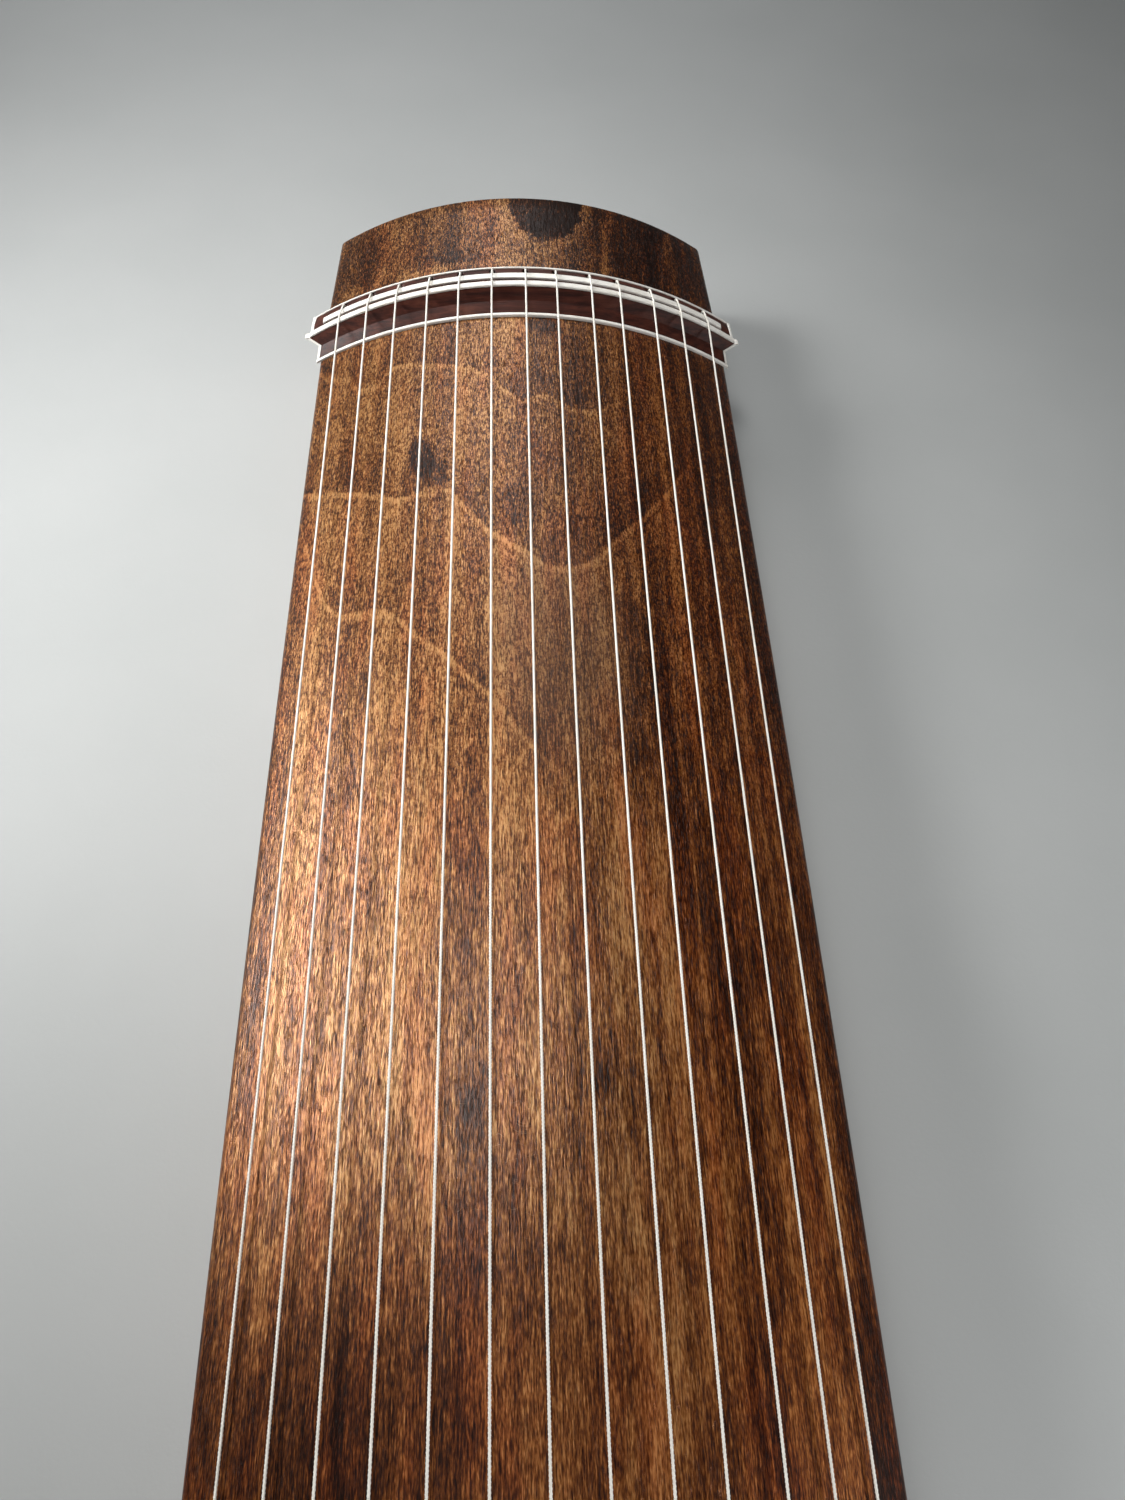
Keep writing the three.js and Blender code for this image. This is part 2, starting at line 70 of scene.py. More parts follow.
def arch(Y):
    if Y > HEAD_CREST_Y:
        return -0.5 * (Y - HEAD_CREST_Y) / (HEAD_END_Y - HEAD_CREST_Y)
    if Y < TAIL_CREST_Y:
        return -1.5 * (TAIL_CREST_Y - Y) / (TAIL_CREST_Y - TAIL_END_Y)
    t = 2 * (HEAD_CREST_Y - Y) / SPAN - 1
    return ARCH * (1 - t * t)


CROWN_R = (REF_HALF_WIDTH**2 + CROWN**2) / (2 * CROWN)
INNER_HALF = REF_HALF_WIDTH - SIDE_THICKNESS
INNER_TOP_Z = BOARD_TOP_Z - TOP_THICKNESS
INNER_RISE = INNER_TOP_Z - INNER_SIDE_Z
INNER_R = (INNER_HALF**2 + INNER_RISE**2) / (2 * INNER_RISE)


def top_z(x, Y):
    s = x / half_width(Y) * REF_HALF_WIDTH
    return BOARD_TOP_Z + arch(Y) - (CROWN_R - math.sqrt(CROWN_R**2 - s * s))


def inner_z(x, Y):
    s = x / half_width(Y) * REF_HALF_WIDTH
    return INNER_TOP_Z + arch(Y) - (INNER_R - math.sqrt(INNER_R**2 - s * s))


def mix(a, b, t):
    return a + (b - a) * t


# ---- camera: the photograph's angle ----------------------------------------------------------
cam_data = bpy.data.cameras.new("camera")
cam_data.sensor_fit = "AUTO"
cam_data.sensor_width = 36.0
cam_data.lens = 27.05
cam_data.clip_start = 0.02
camera = bpy.data.objects.new("camera", cam_data)
scene.collection.objects.link(camera)
turn = (
    Matrix.Rotation(math.radians(-6.045), 4, "Z")
    @ Matrix.Rotation(math.radians(30.397), 4, "X")
    @ Matrix.Rotation(math.radians(4.901), 4, "Z")
)
camera.matrix_world = Matrix.Translation((-0.01517, 0.22256, 0.5441)) @ turn
scene.camera = camera


# ---- node material helper --------------------------------------------------------------------
class Nodes:
    """A short way to write node trees: numbers go on sockets, sockets are linked."""

    def __init__(self, name):
        self.mat = bpy.data.materials.new(name)
        self.mat.use_nodes = True
        self.tree = self.mat.node_tree
        self.tree.nodes.clear()
        self.out = self.make("ShaderNodeOutputMaterial")
        self.bsdf = self.make("ShaderNodeBsdfPrincipled")
        self.tree.links.new(self.bsdf.outputs[0], self.out.inputs[0])
        coords = self.make("ShaderNodeTexCoord")
        self.p = self.vmath("SCALE", coords.outputs["Object"], scale=1000.0)

    def make(self, kind, **props):
        n = self.tree.nodes.new(kind)
        for k, v in props.items():
            setattr(n, k, v)
        return n

    def put(self, socket, value):
        if isinstance(value, bpy.types.NodeSocket):
            self.tree.links.new(value, socket)
        elif isinstance(value, (tuple, list)):
            socket.default_value = (
                (*value, 1.0) if len(value) == 3 and socket.type == "RGBA" else tuple(value)
            )
        else:
            socket.default_value = value

    def math(self, op, a, b=None, c=None, clamp=False):
        n = self.make("ShaderNodeMath", operation=op, use_clamp=clamp)
        for i, v in enumerate((a, b, c)):
            if v is not None:
                self.put(n.inputs[i], v)
        return n.outputs[0]

    def vmath(self, op, a, b=None, c=None, scale=None):
        n = self.make("ShaderNodeVectorMath", operation=op)
        for i, v in enumerate((a, b, c)):
            if v is not None:
                self.put(n.inputs[i], v)
        if scale is not None:
            self.put(n.inputs["Scale"], scale)
        return n.outputs["Value" if op in ("LENGTH", "DOT_PRODUCT", "DISTANCE") else "Vector"]

    def add(self, *values):
        total = values[0]
        for v in values[1:]:
            total = self.math("ADD", total, v)
        return total

    def mul(self, a, b):
        return self.math("MULTIPLY", a, b)

    def step(self, value, low, high, to_low=0.0, to_high=1.0, smooth=True):
        n = self.make("ShaderNodeMapRange", interpolation_type="SMOOTHSTEP" if smooth else "LINEAR")
        if not smooth:
            n.clamp = True
        self.put(n.inputs[0], value)
        for i, v in enumerate((low, high, to_low, to_high)):
            n.inputs[1 + i].default_value = v
        return n.outputs[0]

    def noise(self, vector, detail=2.0, rough=0.5, scale=1.0, distort=0.0, colour=False):
        n = self.make("ShaderNodeTexNoise")
        self.put(n.inputs["Vector"], vector)
        n.inputs["Scale"].default_value = scale
        n.inputs["Detail"].default_value = detail
        n.inputs["Roughness"].default_value = rough
        n.inputs["Distortion"].default_value = distort
        return n.outputs["Color" if colour else "Fac"]

    def stretched(self, sx, sy, sz, of=None, shift=(0, 0, 0)):
        """The coordinates in steps of that many millimetres along each axis."""
        return self.vmath("MULTIPLY_ADD", of or self.p, (1 / sx, 1 / sy, 1 / sz), shift)

    def ramp(self, value, stops, smooth=False):
        n = self.make("ShaderNodeValToRGB")
        n.color_ramp.interpolation = "EASE" if smooth else "LINEAR"
        e = n.color_ramp.elements
        while len(e) < len(stops):
            e.new(0.5)
        for el, (pos, col) in zip(e, stops):
            el.position = pos
            el.color = (*col, 1.0)
        self.put(n.inputs[0], value)
        return n.outputs[0]

    def blend(self, fac, a, b, kind="MIX"):
        n = self.make("ShaderNodeMix", data_type="RGBA", blend_type=kind)
        self.put(n.inputs[0], fac)
        self.put(n.inputs[6], a)
        self.put(n.inputs[7], b)
        return n.outputs[2]

    def blob(self, flat, cx, cy, rx, ry, angle=0.0, soft=0.25, warp=None):
        """1 inside an ellipse on the board, 0 outside."""
        m = self.make("ShaderNodeMapping", vector_type="TEXTURE")
        self.put(m.inputs["Vector"], flat)
        m.inputs["Location"].default_value = (cx, cy, 0)
        m.inputs["Rotation"].default_value = (0, 0, math.radians(angle))
        m.inputs["Scale"].default_value = (rx, ry, 1)
        far = self.vmath("LENGTH", m.outputs[0])
        if warp is not None:
            far = self.math("ADD", far, warp)
        return self.step(far, 1 + soft, 1 - soft)

    def curve(self, x, points, lo, hi):
        """y as a function of x through the points, in millimetres."""
        n = self.make("ShaderNodeFloatCurve")
        c = n.mapping.curves[0]
        c.points[0].location = ((points[0][0] + 135) / 270, (points[0][1] - lo) / (hi - lo))
        c.points[1].location = ((points[-1][0] + 135) / 270, (points[-1][1] - lo) / (hi - lo))
        for px, py in points[1:-1]:
            c.points.new((px + 135) / 270, (py - lo) / (hi - lo))
        n.mapping.use_clip = False
        n.mapping.update()
        self.put(n.inputs["Value"], self.math("MULTIPLY_ADD", x, 1 / 270, 0.5))
        return self.math("MULTIPLY_ADD", n.outputs[0], hi - lo, lo)

    def bump(self, height, strength, distance_mm, normal=None):
        n = self.make("ShaderNodeBump")
        n.inputs["Strength"].default_value = strength
        n.inputs["Distance"].default_value = distance_mm * MM
        self.put(n.inputs["Height"], height)
        if normal is not None:
            self.put(n.inputs["Normal"], normal)
        return n.outputs[0]

    def shade(self, **values):
        names = {
            "colour": "Base Color", "rough": "Roughness", "normal": "Normal", "coat": "Coat Weight",
            "coat_rough": "Coat Roughness", "specular": "Specular IOR Level", "ior": "IOR",
            "sheen": "Sheen Weight", "subsurface": "Subsurface Weight", "metallic": "Metallic",
            "coat_normal": "Coat Normal",
        }
        for k, v in values.items():
            self.put(self.bsdf.inputs[names[k]], v)
        return self.mat


# ---- materials -------------------------------------------------------------------------------
RING_1 = [(-127, -24), (-117, -36), (-106, -43), (-97, -56), (-88, -55), (-80, -46), (-70, -46), (-59, -49), (-41, -56),
          (-28, -60.5), (-19, -68), (-12.5, -78), (-1.5, -85), (10, -83), (19, -89), (28, -93), (41, -89), (60, -70)]
RING_2 = [(-127, -128), (-99, -140), (-83.5, -146), (-70, -153.5), (-59, -152), (-46, -152), (-39, -160), (-30, -171),
          (-21, -184.6), (-12.4, -191), (-1.3, -199), (7.6, -208), (18.7, -209), (29.8, -205.7), (37.6, -198),
          (47.6, -184.6), (61, -169), (72, -153.5), (83, -136), (100, -105)]
RING_3 = [(-132, -135), (-123.5, -164.6), (-117, -187), (-110, -209), (-103.5, -222), (-92.4, -229), (-77, -230), (-68, -235.7),
          (-59, -246.8), (-48, -258), (-37, -269), (-28, -280), (-19, -291), (-8, -307), (5, -325), (30, -348)]


def paulownia(name, figured):
    """Scorched and waxed paulownia. figured adds the soundboard's own knots and growth rings, and a painted shadow and
    painted sheen on the board.
    """
    w = Nodes(name)
    sep = w.make("ShaderNodeSeparateXYZ")
    w.put(sep.inputs[0], w.p)
    x, y = sep.outputs[0], sep.outputs[1]
    yl = w.math("ADD", y, -HEAD_CREST_Y)
    flat_n = w.make("ShaderNodeCombineXYZ")
    w.put(flat_n.inputs[0], x)
    w.put(flat_n.inputs[1], yl)
    flat = flat_n.outputs[0]
    wobble = w.noise(w.stretched(26, 60, 26), detail=3, rough=0.6, colour=True)
    warp = w.vmath("MULTIPLY_ADD", wobble, (9.0, 30.0, 9.0), (-4.5, -15.0, -4.5))
    moved = w.vmath("ADD", w.p, warp)
    # Lengthwise figure, wide to narrow.
    bands = w.noise(w.stretched(17, 520, 17, moved), detail=2, rough=0.5)
    streaks = w.noise(w.stretched(3.6, 150, 3.6, moved, (7.3, 1.1, 0.2)), detail=3, rough=0.6)
    fine = w.noise(w.stretched(0.62, 11, 0.62, None, (3.1, 8.7, 5.5)), detail=2, rough=0.6)
    grit = w.noise(w.stretched(0.66, 3.3, 0.66, None, (6.6, 3.3, 1.5)), detail=1, rough=0.7)
    blotch = w.noise(w.stretched(10, 62, 10, moved, (0.7, 4.4, 9.1)), detail=4, rough=0.6)
    patch = w.noise(w.stretched(6, 22, 6, moved, (5.5, 2.2, 0.1)), detail=3, rough=0.6)
    # Open pores: short dark dashes along the grain.
    dash = w.noise(w.stretched(0.50, 6.0, 0.50, None, (1.3, 0.4, 2.6)), detail=2, rough=0.5)
    pores = w.step(dash, 0.56, 0.65)
    fleck = w.noise(w.stretched(0.88, 2.3, 0.88, None, (9.3, 2.4, 0.6)), detail=2, rough=0.6, distort=1.1)
    curly = w.step(fleck, 0.45, 0.55)
    chips = w.step(w.noise(w.stretched(1.9, 8.5, 1.9, moved, (4.1, 6.6, 3.2)), detail=4, rough=0.7), 0.60, 0.72)
    half = lambda s, k: w.math("MULTIPLY_ADD", s, k, -0.5 * k)
    if figured:
        head = w.step(yl, -330.0, -150.0)  # where the figure is curly rather than straight
        near = w.step(yl, -420.0, -250.0)
        mess = w.math("MULTIPLY_ADD", w.noise(w.stretched(5, 6, 5, None, (2, 5, 1)), detail=3, rough=0.65), 0.5, -0.25)
        calm = w.step(yl, -580.0, -470.0, 0.70, 1.0)  # less contrast towards the middle of the board
        tone = w.add(
            w.mul(half(bands, 1.0), calm),
            w.mul(w.mul(half(streaks, 0.80), calm), w.step(head, 0, 1, 1.0, 0.40, False)),
            w.mul(w.mul(half(fine, 1.65), calm), w.step(head, 0, 1, 1.0, 0.35, False)),
            w.mul(half(grit, 1.45), w.step(head, 0, 1, 0.7, 1.0, False)),
            w.mul(w.mul(half(curly, 0.40), w.step(near, 0, 1, 0.12, 1.0, False)), w.step(yl, -20.0, 30.0, 1.0, 1.35)),
            w.mul(half(blotch, 0.62), w.step(near, 0, 1, 1.0, 0.60, False)),
            half(patch, 0.40),
            w.mul(w.step(dash, 0.46, 0.36), 0.17),
            0.578,
        )
        # Growth rings: a pale line, and darker wood on the head's side of it.
        for pts, lo, hi, pale, dark, wide, x0, x1 in (
            (RING_1, -110, 0, 0.24, 0.10, 34, 28, 66),
            (RING_2, -230, -90, 0.27, 0.16, 52, 75, 100),
            (RING_3, -360, -120, 0.25, 0.08, 36, -8, 28),
        ):
            line = w.curve(x, pts, lo, hi)
            rough_edge = w.math("MULTIPLY_ADD", wobble.node.outputs["Fac"], 9.0, -4.5)
            f = w.math("SUBTRACT", w.math("ADD", yl, rough_edge), line)
            ends = w.step(x, x1, x0)
            under = w.step(w.math("ABSOLUTE", w.math("ADD", f, 1.6)), 4.2, 0.4)
            above = w.mul(w.step(f, -0.6, 1.6), w.step(f, wide, 6.0))
            change = w.math("SUBTRACT", w.mul(under, pale), w.mul(above, dark))
            tone = w.math("MULTIPLY_ADD", change, ends, tone)
        # Knots, stained places and painted shadow: centre, half sizes, turn, softness, depth. The wide dark place at
        # (-70, -660) and the smaller ones near it on the left, from y -524 to -604, are painted shadow towards the tail
        # end.
        for cx, cy, rx, ry, turned, soft, depth in (
            (-59, -126, 6.5, 17, 14, 0.22, 0.36),
            (-56, -134, 10, 22, 14, 0.5, 0.08),
            (14.5, 104, 24.5, 42.5, 0, 0.05, 0.58),
            (15, 82, 9, 12, 0, 0.6, 0.16),
            (-106, 68, 14, 33, 4, 0.45, 0.23),
            (11, -22, 10.5, 8.5, 0, 0.35, 0.20),
            (11, -62, 33, 34, 0, 0.35, 0.13),
            (16, -150, 40, 48, 0, 0.35, 0.10),
            (79, -247, 5, 7, 0, 0.5, 0.25),
            (24, -473, 4, 6, 0, 0.5, 0.25),
            (-105, -513, 3.5, 11, 0, 0.4, 0.22),
            (-32, -482, 7.5, 14, 0, 0.4, 0.20),
            (-43, 47, 21, 5, -14, 0.3, 0.20),
            (0, 70, 150, 54, 0, 0.25, 0.13),
            (-28, 62, 32, 30, 0, 0.6, 0.10),
            (75, 70, 42, 60, 0, 0.4, 0.14),
            (84, 66, 4, 60, -4, 0.5, 0.16),
            (10, -21, 9.5, 7.5, 0, 0.2, 0.16),
            (-70, -660, 95, 130, 0, 0.4, 0.17),
            (-36, -340, 6, 100, 2, 0.6, 0.10),
            (26, -410, 4, 130, 0, 0.7, 0.12),
            (62, -300, 5, 60, 3, 0.7, 0.14),
            (41, -465, 11, 55, 0, 0.5, 0.12),
            (14, -300, 14, 50, 0, 0.6, 0.14),
            (51, -296, 15, 62, 0, 0.6, 0.13),
            (-8, -168, 12, 17, 0, 0.4, 0.16),
            (-88, -602, 24, 62, 0, 0.5, 0.18),
            (60, -602, 14, 50, 0, 0.5, 0.04),
            (-10, -524, 13, 30, 0, 0.5, 0.17),
            (-52, -604, 18, 45, 0, 0.5, 0.07),
            (-56, -536, 20, 32, 0, 0.5, 0.08),
            (-2, -105, 15, 55, 0, 0.6, 0.13),
        ):
            tone = w.math("MULTIPLY_ADD", w.blob(flat, cx, cy, rx, ry, turned, soft, mess), -depth, tone)
        # Lighter places, same columns: a pale rim round the big knot, pale marks, and lighter tone elsewhere. Those at
        # (-28, -290) and (-82, -495), in the middle and on the left of the board, are painted sheen.
        for cx, cy, rx, ry, turned, soft, depth in (
            (14.5, 104, 31, 50, 0, 0.10, 0.16),
            (-109, 41, 8, 4, 0, 0.4, 0.22),
            (-92, 45, 2.6, 10, -20, 0.4, 0.24),
            (-59, 37, 19, 4.5, 6, 0.25, 0.24),
            (-60, -400, 50, 90, 0, 0.6, 0.05),
            (44, -410, 12, 60, 0, 0.6, 0.15),
            (-10, -600, 14, 34, 0, 0.5, 0.12),
            (99, -600, 14, 40, 0, 0.5, 0.17),
            (38, -560, 16, 60, 0, 0.6, 0.07),
            (-28, -290, 20, 62, 0, 0.6, 0.11),
            (-82, -495, 62, 62, 0, 0.5, 0.07),
            (96, -520, 24, 70, 0, 0.6, 0.16),
            (54, 70, 2.6, 60, -6, 0.5, 0.22),
            (92, 62, 2.0, 40, -8, 0.5, 0.16),
        ):
            keep = w.blob(flat, cx, cy, rx, ry, turned, soft, mess)
            if cx == 14.5:
                keep = w.mul(keep, w.step(w.blob(flat, cx, cy, 24.5, 42.5, 0, 0.07, mess), 0, 1, 1, 0, False))
            tone = w.math("MULTIPLY_ADD", keep, depth, tone)
        # The right side is darker, with strong lengthwise streaks; part of that darkness is painted shade where the
        # light falls away from the right.
        right = w.step(x, 24.0, 84.0)
        ribs = w.noise(w.stretched(5.0, 360, 30, moved, (1.7, 0.3, 0)), detail=3, rough=0.6)
        tone = w.math("MULTIPLY_ADD", right, w.math("MULTIPLY_ADD", ribs, 1.25, -0.86), tone)
        edge = w.step(w.math("ABSOLUTE", x), 116.0, 128.0)
        tone = w.math("MULTIPLY_ADD", edge, -0.10, tone)
    else:
        tone = w.add(half(bands, 0.5), half(streaks, 0.55), half(fine, 0.45), half(blotch, 0.45), half(patch, 0.25), 0.50)
    colour = w.ramp(tone, [
        (0.0, (0.0095, 0.0030, 0.0012)),
        (0.20, (0.034, 0.0095, 0.0025)),
        (0.42, (0.096, 0.0290, 0.0066)),
        (0.58, (0.170, 0.0590, 0.0145)),
        (0.78, (0.285, 0.1210, 0.0360)),
        (1.0, (0.450, 0.2350, 0.0900)),
    ])
    dark = (0.016, 0.0054, 0.0028)
    colour = w.blend(w.mul(pores, 0.50), colour, dark)
    if figured:
        speck = w.mul(w.step(fleck, 0.36, 0.24), w.step(head, 0, 1, 0.12, 0.40, False))
        colour = w.blend(speck, colour, (0.035, 0.012, 0.0065))
        colour = w.blend(w.mul(chips, w.step(near, 0, 1, 0.55, 0.12, False)), colour, (0.030, 0.0105, 0.0060))
        grey = w.blob(flat, 14, -262, 34, 62, 0, 0.5, mess)
        colour = w.blend(w.mul(grey, 0.38), colour, (0.095, 0.058, 0.042))
        red = w.step(w.noise(w.stretched(15, 95, 15, moved, (3, 9, 4)), detail=3, rough=0.6), 0.44, 0.66, 0.0, 0.55)
        colour = w.blend(red, colour, w.blend(1.0, colour, (1.08, 0.76, 0.68), "MULTIPLY"))
        # Redder and darker at the right side and towards the tail end: partly the wood's own tone, partly painted shade
        # where the light falls away.
        deep = w.math("MAXIMUM", right, w.step(yl, -500.0, -600.0, 0.0, 0.5))
        colour = w.blend(w.mul(deep, 0.8), colour, w.blend(1.0, colour, (1.0, 0.74, 0.50), "MULTIPLY"))
        # Fine scratches left by moving bridges.
        scr = w.noise(w.stretched(13, 0.34, 13, w.vmath("ADD", moved, (0, 0, 0)), (6.1, 2.2, 8.0)), detail=1)
        where = w.blob(flat, -24, -465, 30, 60, 0, 0.8, mess)
        colour = w.blend(w.mul(w.mul(w.step(scr, 0.70, 0.78), where), 0.5), colour, (0.42, 0.27, 0.15))
    # The wax is thicker where the board is played and thin at the right side, the far end and the knot.
    coat, lively = 0.24, 1.0
    if figured:
        played = w.blob(flat, -70, -420, 62, 115, 0, 0.6)
        coat = w.add(
            w.mul(deep, -0.12), w.mul(played, 0.11),
            w.mul(w.blob(flat, 14.5, 104, 24.5, 42.5, 0, 0.1, mess), -0.17), 0.24,
        )
        lively = w.math("MULTIPLY_ADD", played, 0.7, 1.0)
    rough = w.add(w.mul(pores, 0.22), w.math("MULTIPLY_ADD", patch, 0.18, 0.24), w.mul(fine, 0.10))
    height = w.mul(w.add(w.mul(pores, -0.9), w.mul(fine, 0.75), w.mul(dash, 0.35)), lively)
    normal = w.bump(height, 0.8, 0.20)
    relief = w.add(w.mul(streaks, 1.0), w.mul(w.noise(w.stretched(2.2, 9.5, 2.2, moved, (8, 1, 3)), detail=3, rough=0.6), 0.9),
                   w.mul(chips, -0.8))
    normal = w.bump(relief, 0.6, 0.42, normal)
    return w.shade(colour=colour, rough=rough, normal=normal, specular=0.14, coat=coat, coat_rough=0.22, coat_normal=normal, metallic=0.45)


def raw_wood(name):
    w = Nodes(name)
    warp = w.vmath("MULTIPLY_ADD", w.noise(w.stretched(30, 70, 30), colour=True), (6, 12, 6), (-3, -6, -3))
    moved = w.vmath("ADD", w.p, warp)
    bands = w.noise(w.stretched(8, 260, 8, moved), detail=3, rough=0.6)
    fine = w.noise(w.stretched(0.9, 30, 0.9), detail=3, rough=0.6)
    tone = w.math("MULTIPLY_ADD", fine, 0.45, w.mul(bands, 0.6))
    colour = w.ramp(tone, [(0.25, (0.24, 0.135, 0.068)), (0.5, (0.42, 0.265, 0.145)), (0.8, (0.58, 0.41, 0.245))])
    pores = w.step(w.noise(w.stretched(0.6, 6, 0.6, None, (2, 2, 2)), detail=2), 0.6, 0.7)
    colour = w.blend(w.mul(pores, 0.45), colour, (0.14, 0.075, 0.038))
    rough = w.math("MULTIPLY_ADD", fine, 0.2, 0.58)
    return w.shade(colour=colour, rough=rough, normal=w.bump(w.math("SUBTRACT", fine, w.mul(pores, 0.7)), 0.5, 0.15))


def rosewood(name, along):
    """Dark red-brown wood; along is the axis of its grain."""
    w = Nodes(name)
    sizes = {"x": (170, 3.2, 3.2), "y": (3.2, 170, 3.2), "z": (3.2, 3.2, 60)}[along]
    finer = {"x": (26, 0.7, 0.7), "y": (0.7, 26, 0.7), "z": (0.7, 0.7, 12)}[along]
    warp = w.vmath("MULTIPLY_ADD", w.noise(w.stretched(20, 20, 20), colour=True), (2.4, 2.4, 2.4), (-1.2, -1.2, -1.2))
    moved = w.vmath("ADD", w.p, warp)
    bands = w.noise(w.stretched(*sizes, moved), detail=4, rough=0.6)
    fine = w.noise(w.stretched(*finer, None, (1, 2, 3)), detail=2, rough=0.6)
    worn = w.noise(w.stretched(14, 14, 14, None, (5, 5, 5)), detail=3)
    tone = w.add(w.mul(bands, 0.75), w.mul(fine, 0.30), w.mul(worn, 0.18))
    colour = w.ramp(tone, [
        (0.38, (0.010, 0.0030, 0.0022)), (0.53, (0.032, 0.0078, 0.0050)), (0.66, (0.066, 0.0165, 0.0095)), (0.86, (0.125, 0.037, 0.019)),
    ])
    pores = w.step(fine, 0.60, 0.72)
    colour = w.blend(w.mul(pores, 0.55), colour, (0.009, 0.0035, 0.0030))
    rough = w.add(w.math("MULTIPLY_ADD", worn, 0.18, 0.36), w.mul(pores, 0.15))
    return w.shade(colour=colour, rough=rough, normal=w.bump(w.mul(pores, -1.0), 0.35, 0.12), specular=0.24)


def ivory(name):
    w = Nodes(name)
    cloud = w.noise(w.stretched(24, 24, 9), detail=3)
    grain = w.noise(w.stretched(18, 0.55, 0.55, None, (3, 1, 4)), detail=2)
    colour = w.ramp(w.math("MULTIPLY_ADD", grain, 0.45, w.mul(cloud, 0.55)), [
        (0.28, (0.74, 0.69, 0.60)), (0.5, (0.87, 0.84, 0.78)), (0.72, (0.92, 0.905, 0.87)),
    ])
    dirt = w.step(w.noise(w.stretched(3, 3, 3, None, (8, 8, 8)), detail=4, rough=0.7), 0.66, 0.80)
    colour = w.blend(w.mul(dirt, 0.35), colour, (0.42, 0.32, 0.22))
    rough = w.math("MULTIPLY_ADD", cloud, 0.18, 0.24)
    return w.shade(colour=colour, rough=rough, normal=w.bump(grain, 0.2, 0.08), specular=0.5)


def string_cord(name):
    w = Nodes(name)
    fibre = w.noise(w.stretched(0.22, 1.4, 0.22), detail=2, rough=0.6)
    along = w.noise(w.stretched(30, 30, 30, None, (4, 2, 1)), detail=3)
    colour = w.ramp(w.math("MULTIPLY_ADD", fibre, 0.5, w.mul(along, 0.5)), [
        (0.25, (0.74, 0.69, 0.60)), (0.5, (0.89, 0.855, 0.78)), (0.75, (0.95, 0.93, 0.87)),
    ])
    rough = w.math("MULTIPLY_ADD", fibre, 0.22, 0.34)
    return w.shade(colour=colour, rough=rough, normal=w.bump(fibre, 0.4, 0.06), sheen=0.15)


def paper(name):
    w = Nodes(name)
    fibres = w.noise(w.stretched(0.8, 0.8, 0.8), detail=4, rough=0.7)
    colour = w.ramp(fibres, [(0.3, (0.52, 0.45, 0.32)), (0.55, (0.70, 0.64, 0.50)), (0.75, (0.80, 0.76, 0.65))])
    return w.shade(colour=colour, rough=w.math("MULTIPLY_ADD", fibres, 0.2, 0.7), normal=w.bump(fibres, 0.4, 0.1))


def painted_floor(name):
    """Pale grey emulsion with a roller's fine stipple."""
    w = Nodes(name)
    stipple = w.noise(w.stretched(2.6, 2.6, 2.6), detail=3, rough=0.6)
    cloud = w.noise(w.stretched(140, 140, 140, None, (2, 3, 4)), detail=3, rough=0.5)
    colour = w.ramp(cloud, [(0.3, (0.420, 0.434, 0.430)), (0.7, (0.448, 0.461, 0.457))])
    normal = w.bump(stipple, 0.30, 0.30)
    return w.shade(colour=colour, rough=w.math("MULTIPLY_ADD", cloud, 0.1, 0.58), normal=normal, specular=0.35)


WOOD = paulownia("burnt_paulownia_figured", True)
WOOD_PLAIN = paulownia("burnt_paulownia_plain", False)
RAW = raw_wood("raw_paulownia")
ROSE_X = rosewood("rosewood_across", "x")
ROSE_Y = rosewood("rosewood_along", "y")
IVORY = ivory("ivory_inlay")
CORD = string_cord("string_white")
PAPER = paper("rolled_paper")
FLOOR = painted_floor("painted_floor")


# ---- mesh helpers: everything is given in millimetres ----------------------------------------
def finish_piece(name, me, material, nodes=(), sharp=35.0, extra=()):
    me.name = name
    ob = bpy.data.objects.new(name, me)
    scene.collection.objects.link(ob)
    me.materials.clear()
    for m in (material, *extra):
        me.materials.append(m)
    me.shade_smooth()
    if sharp:
        me.set_sharp_from_angle(angle=math.radians(sharp))
    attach(ob, "root")
    if nodes:
        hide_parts(*nodes)
    return ob


def mesh_of(verts, faces, fix=True):
    me = bpy.data.meshes.new("piece")
    me.from_pydata([tuple(float(c) * MM for c in v) for v in verts], [], [tuple(f) for f in faces])
    if fix:
        bm = bmesh.new()
        bm.from_mesh(me)
        bmesh.ops.remove_doubles(bm, verts=bm.verts, dist=1e-8)
        bmesh.ops.recalc_face_normals(bm, faces=bm.faces)
        bm.to_mesh(me)
        bm.free()
    me.update()
    return me


def loft(rings, ends=None):
    """Closed rings of equal length, joined one after another. ends are lists of loops for the first and last ring."""
    n, s = len(rings), len(rings[0])
    verts = [p for r in rings for p in r]
    faces = []
    for i in range(n - 1):
        for j in range(s):
            k = (j + 1) % s
            faces.append((i * s + j, i * s + k, (i + 1) * s + k, (i + 1) * s + j))
    for loop in ends or [list(range(s))]:
        faces.append(tuple(loop))
        faces.append(tuple((n - 1) * s + j for j in reversed(loop)))
    return mesh_of(verts, faces)


def fillet(points, radius, seg=4, closed=True):
    """Corners rounded by that radius, which may be one number or one for each point."""
    pts = [np.array(p, float) for p in points]
    n = len(pts)
    out = []
    for i, p in enumerate(pts):
        r = radius[i] if isinstance(radius, (list, tuple)) else radius
        if not closed and i in (0, n - 1):
            out.append(p)
            continue
        a, b = pts[i - 1] - p, pts[(i + 1) % n] - p
        la, lb = np.linalg.norm(a), np.linalg.norm(b)
        if r <= 0 or la < 1e-9 or lb < 1e-9:
            out.append(p)
            continue
        cos = float(np.clip(a @ b / (la * lb), -1, 1))
        turned = math.pi - math.acos(cos)
        if turned < 0.02:
            out.append(p)
            continue
        d = min(r * math.tan(turned / 2), 0.46 * la, 0.46 * lb)
        p0, p2 = p + a / la * d, p + b / lb * d
        for k in range(seg + 1):
            t = k / seg
            out.append((1 - t) ** 2 * p0 + 2 * t * (1 - t) * p + t * t * p2)
    return out


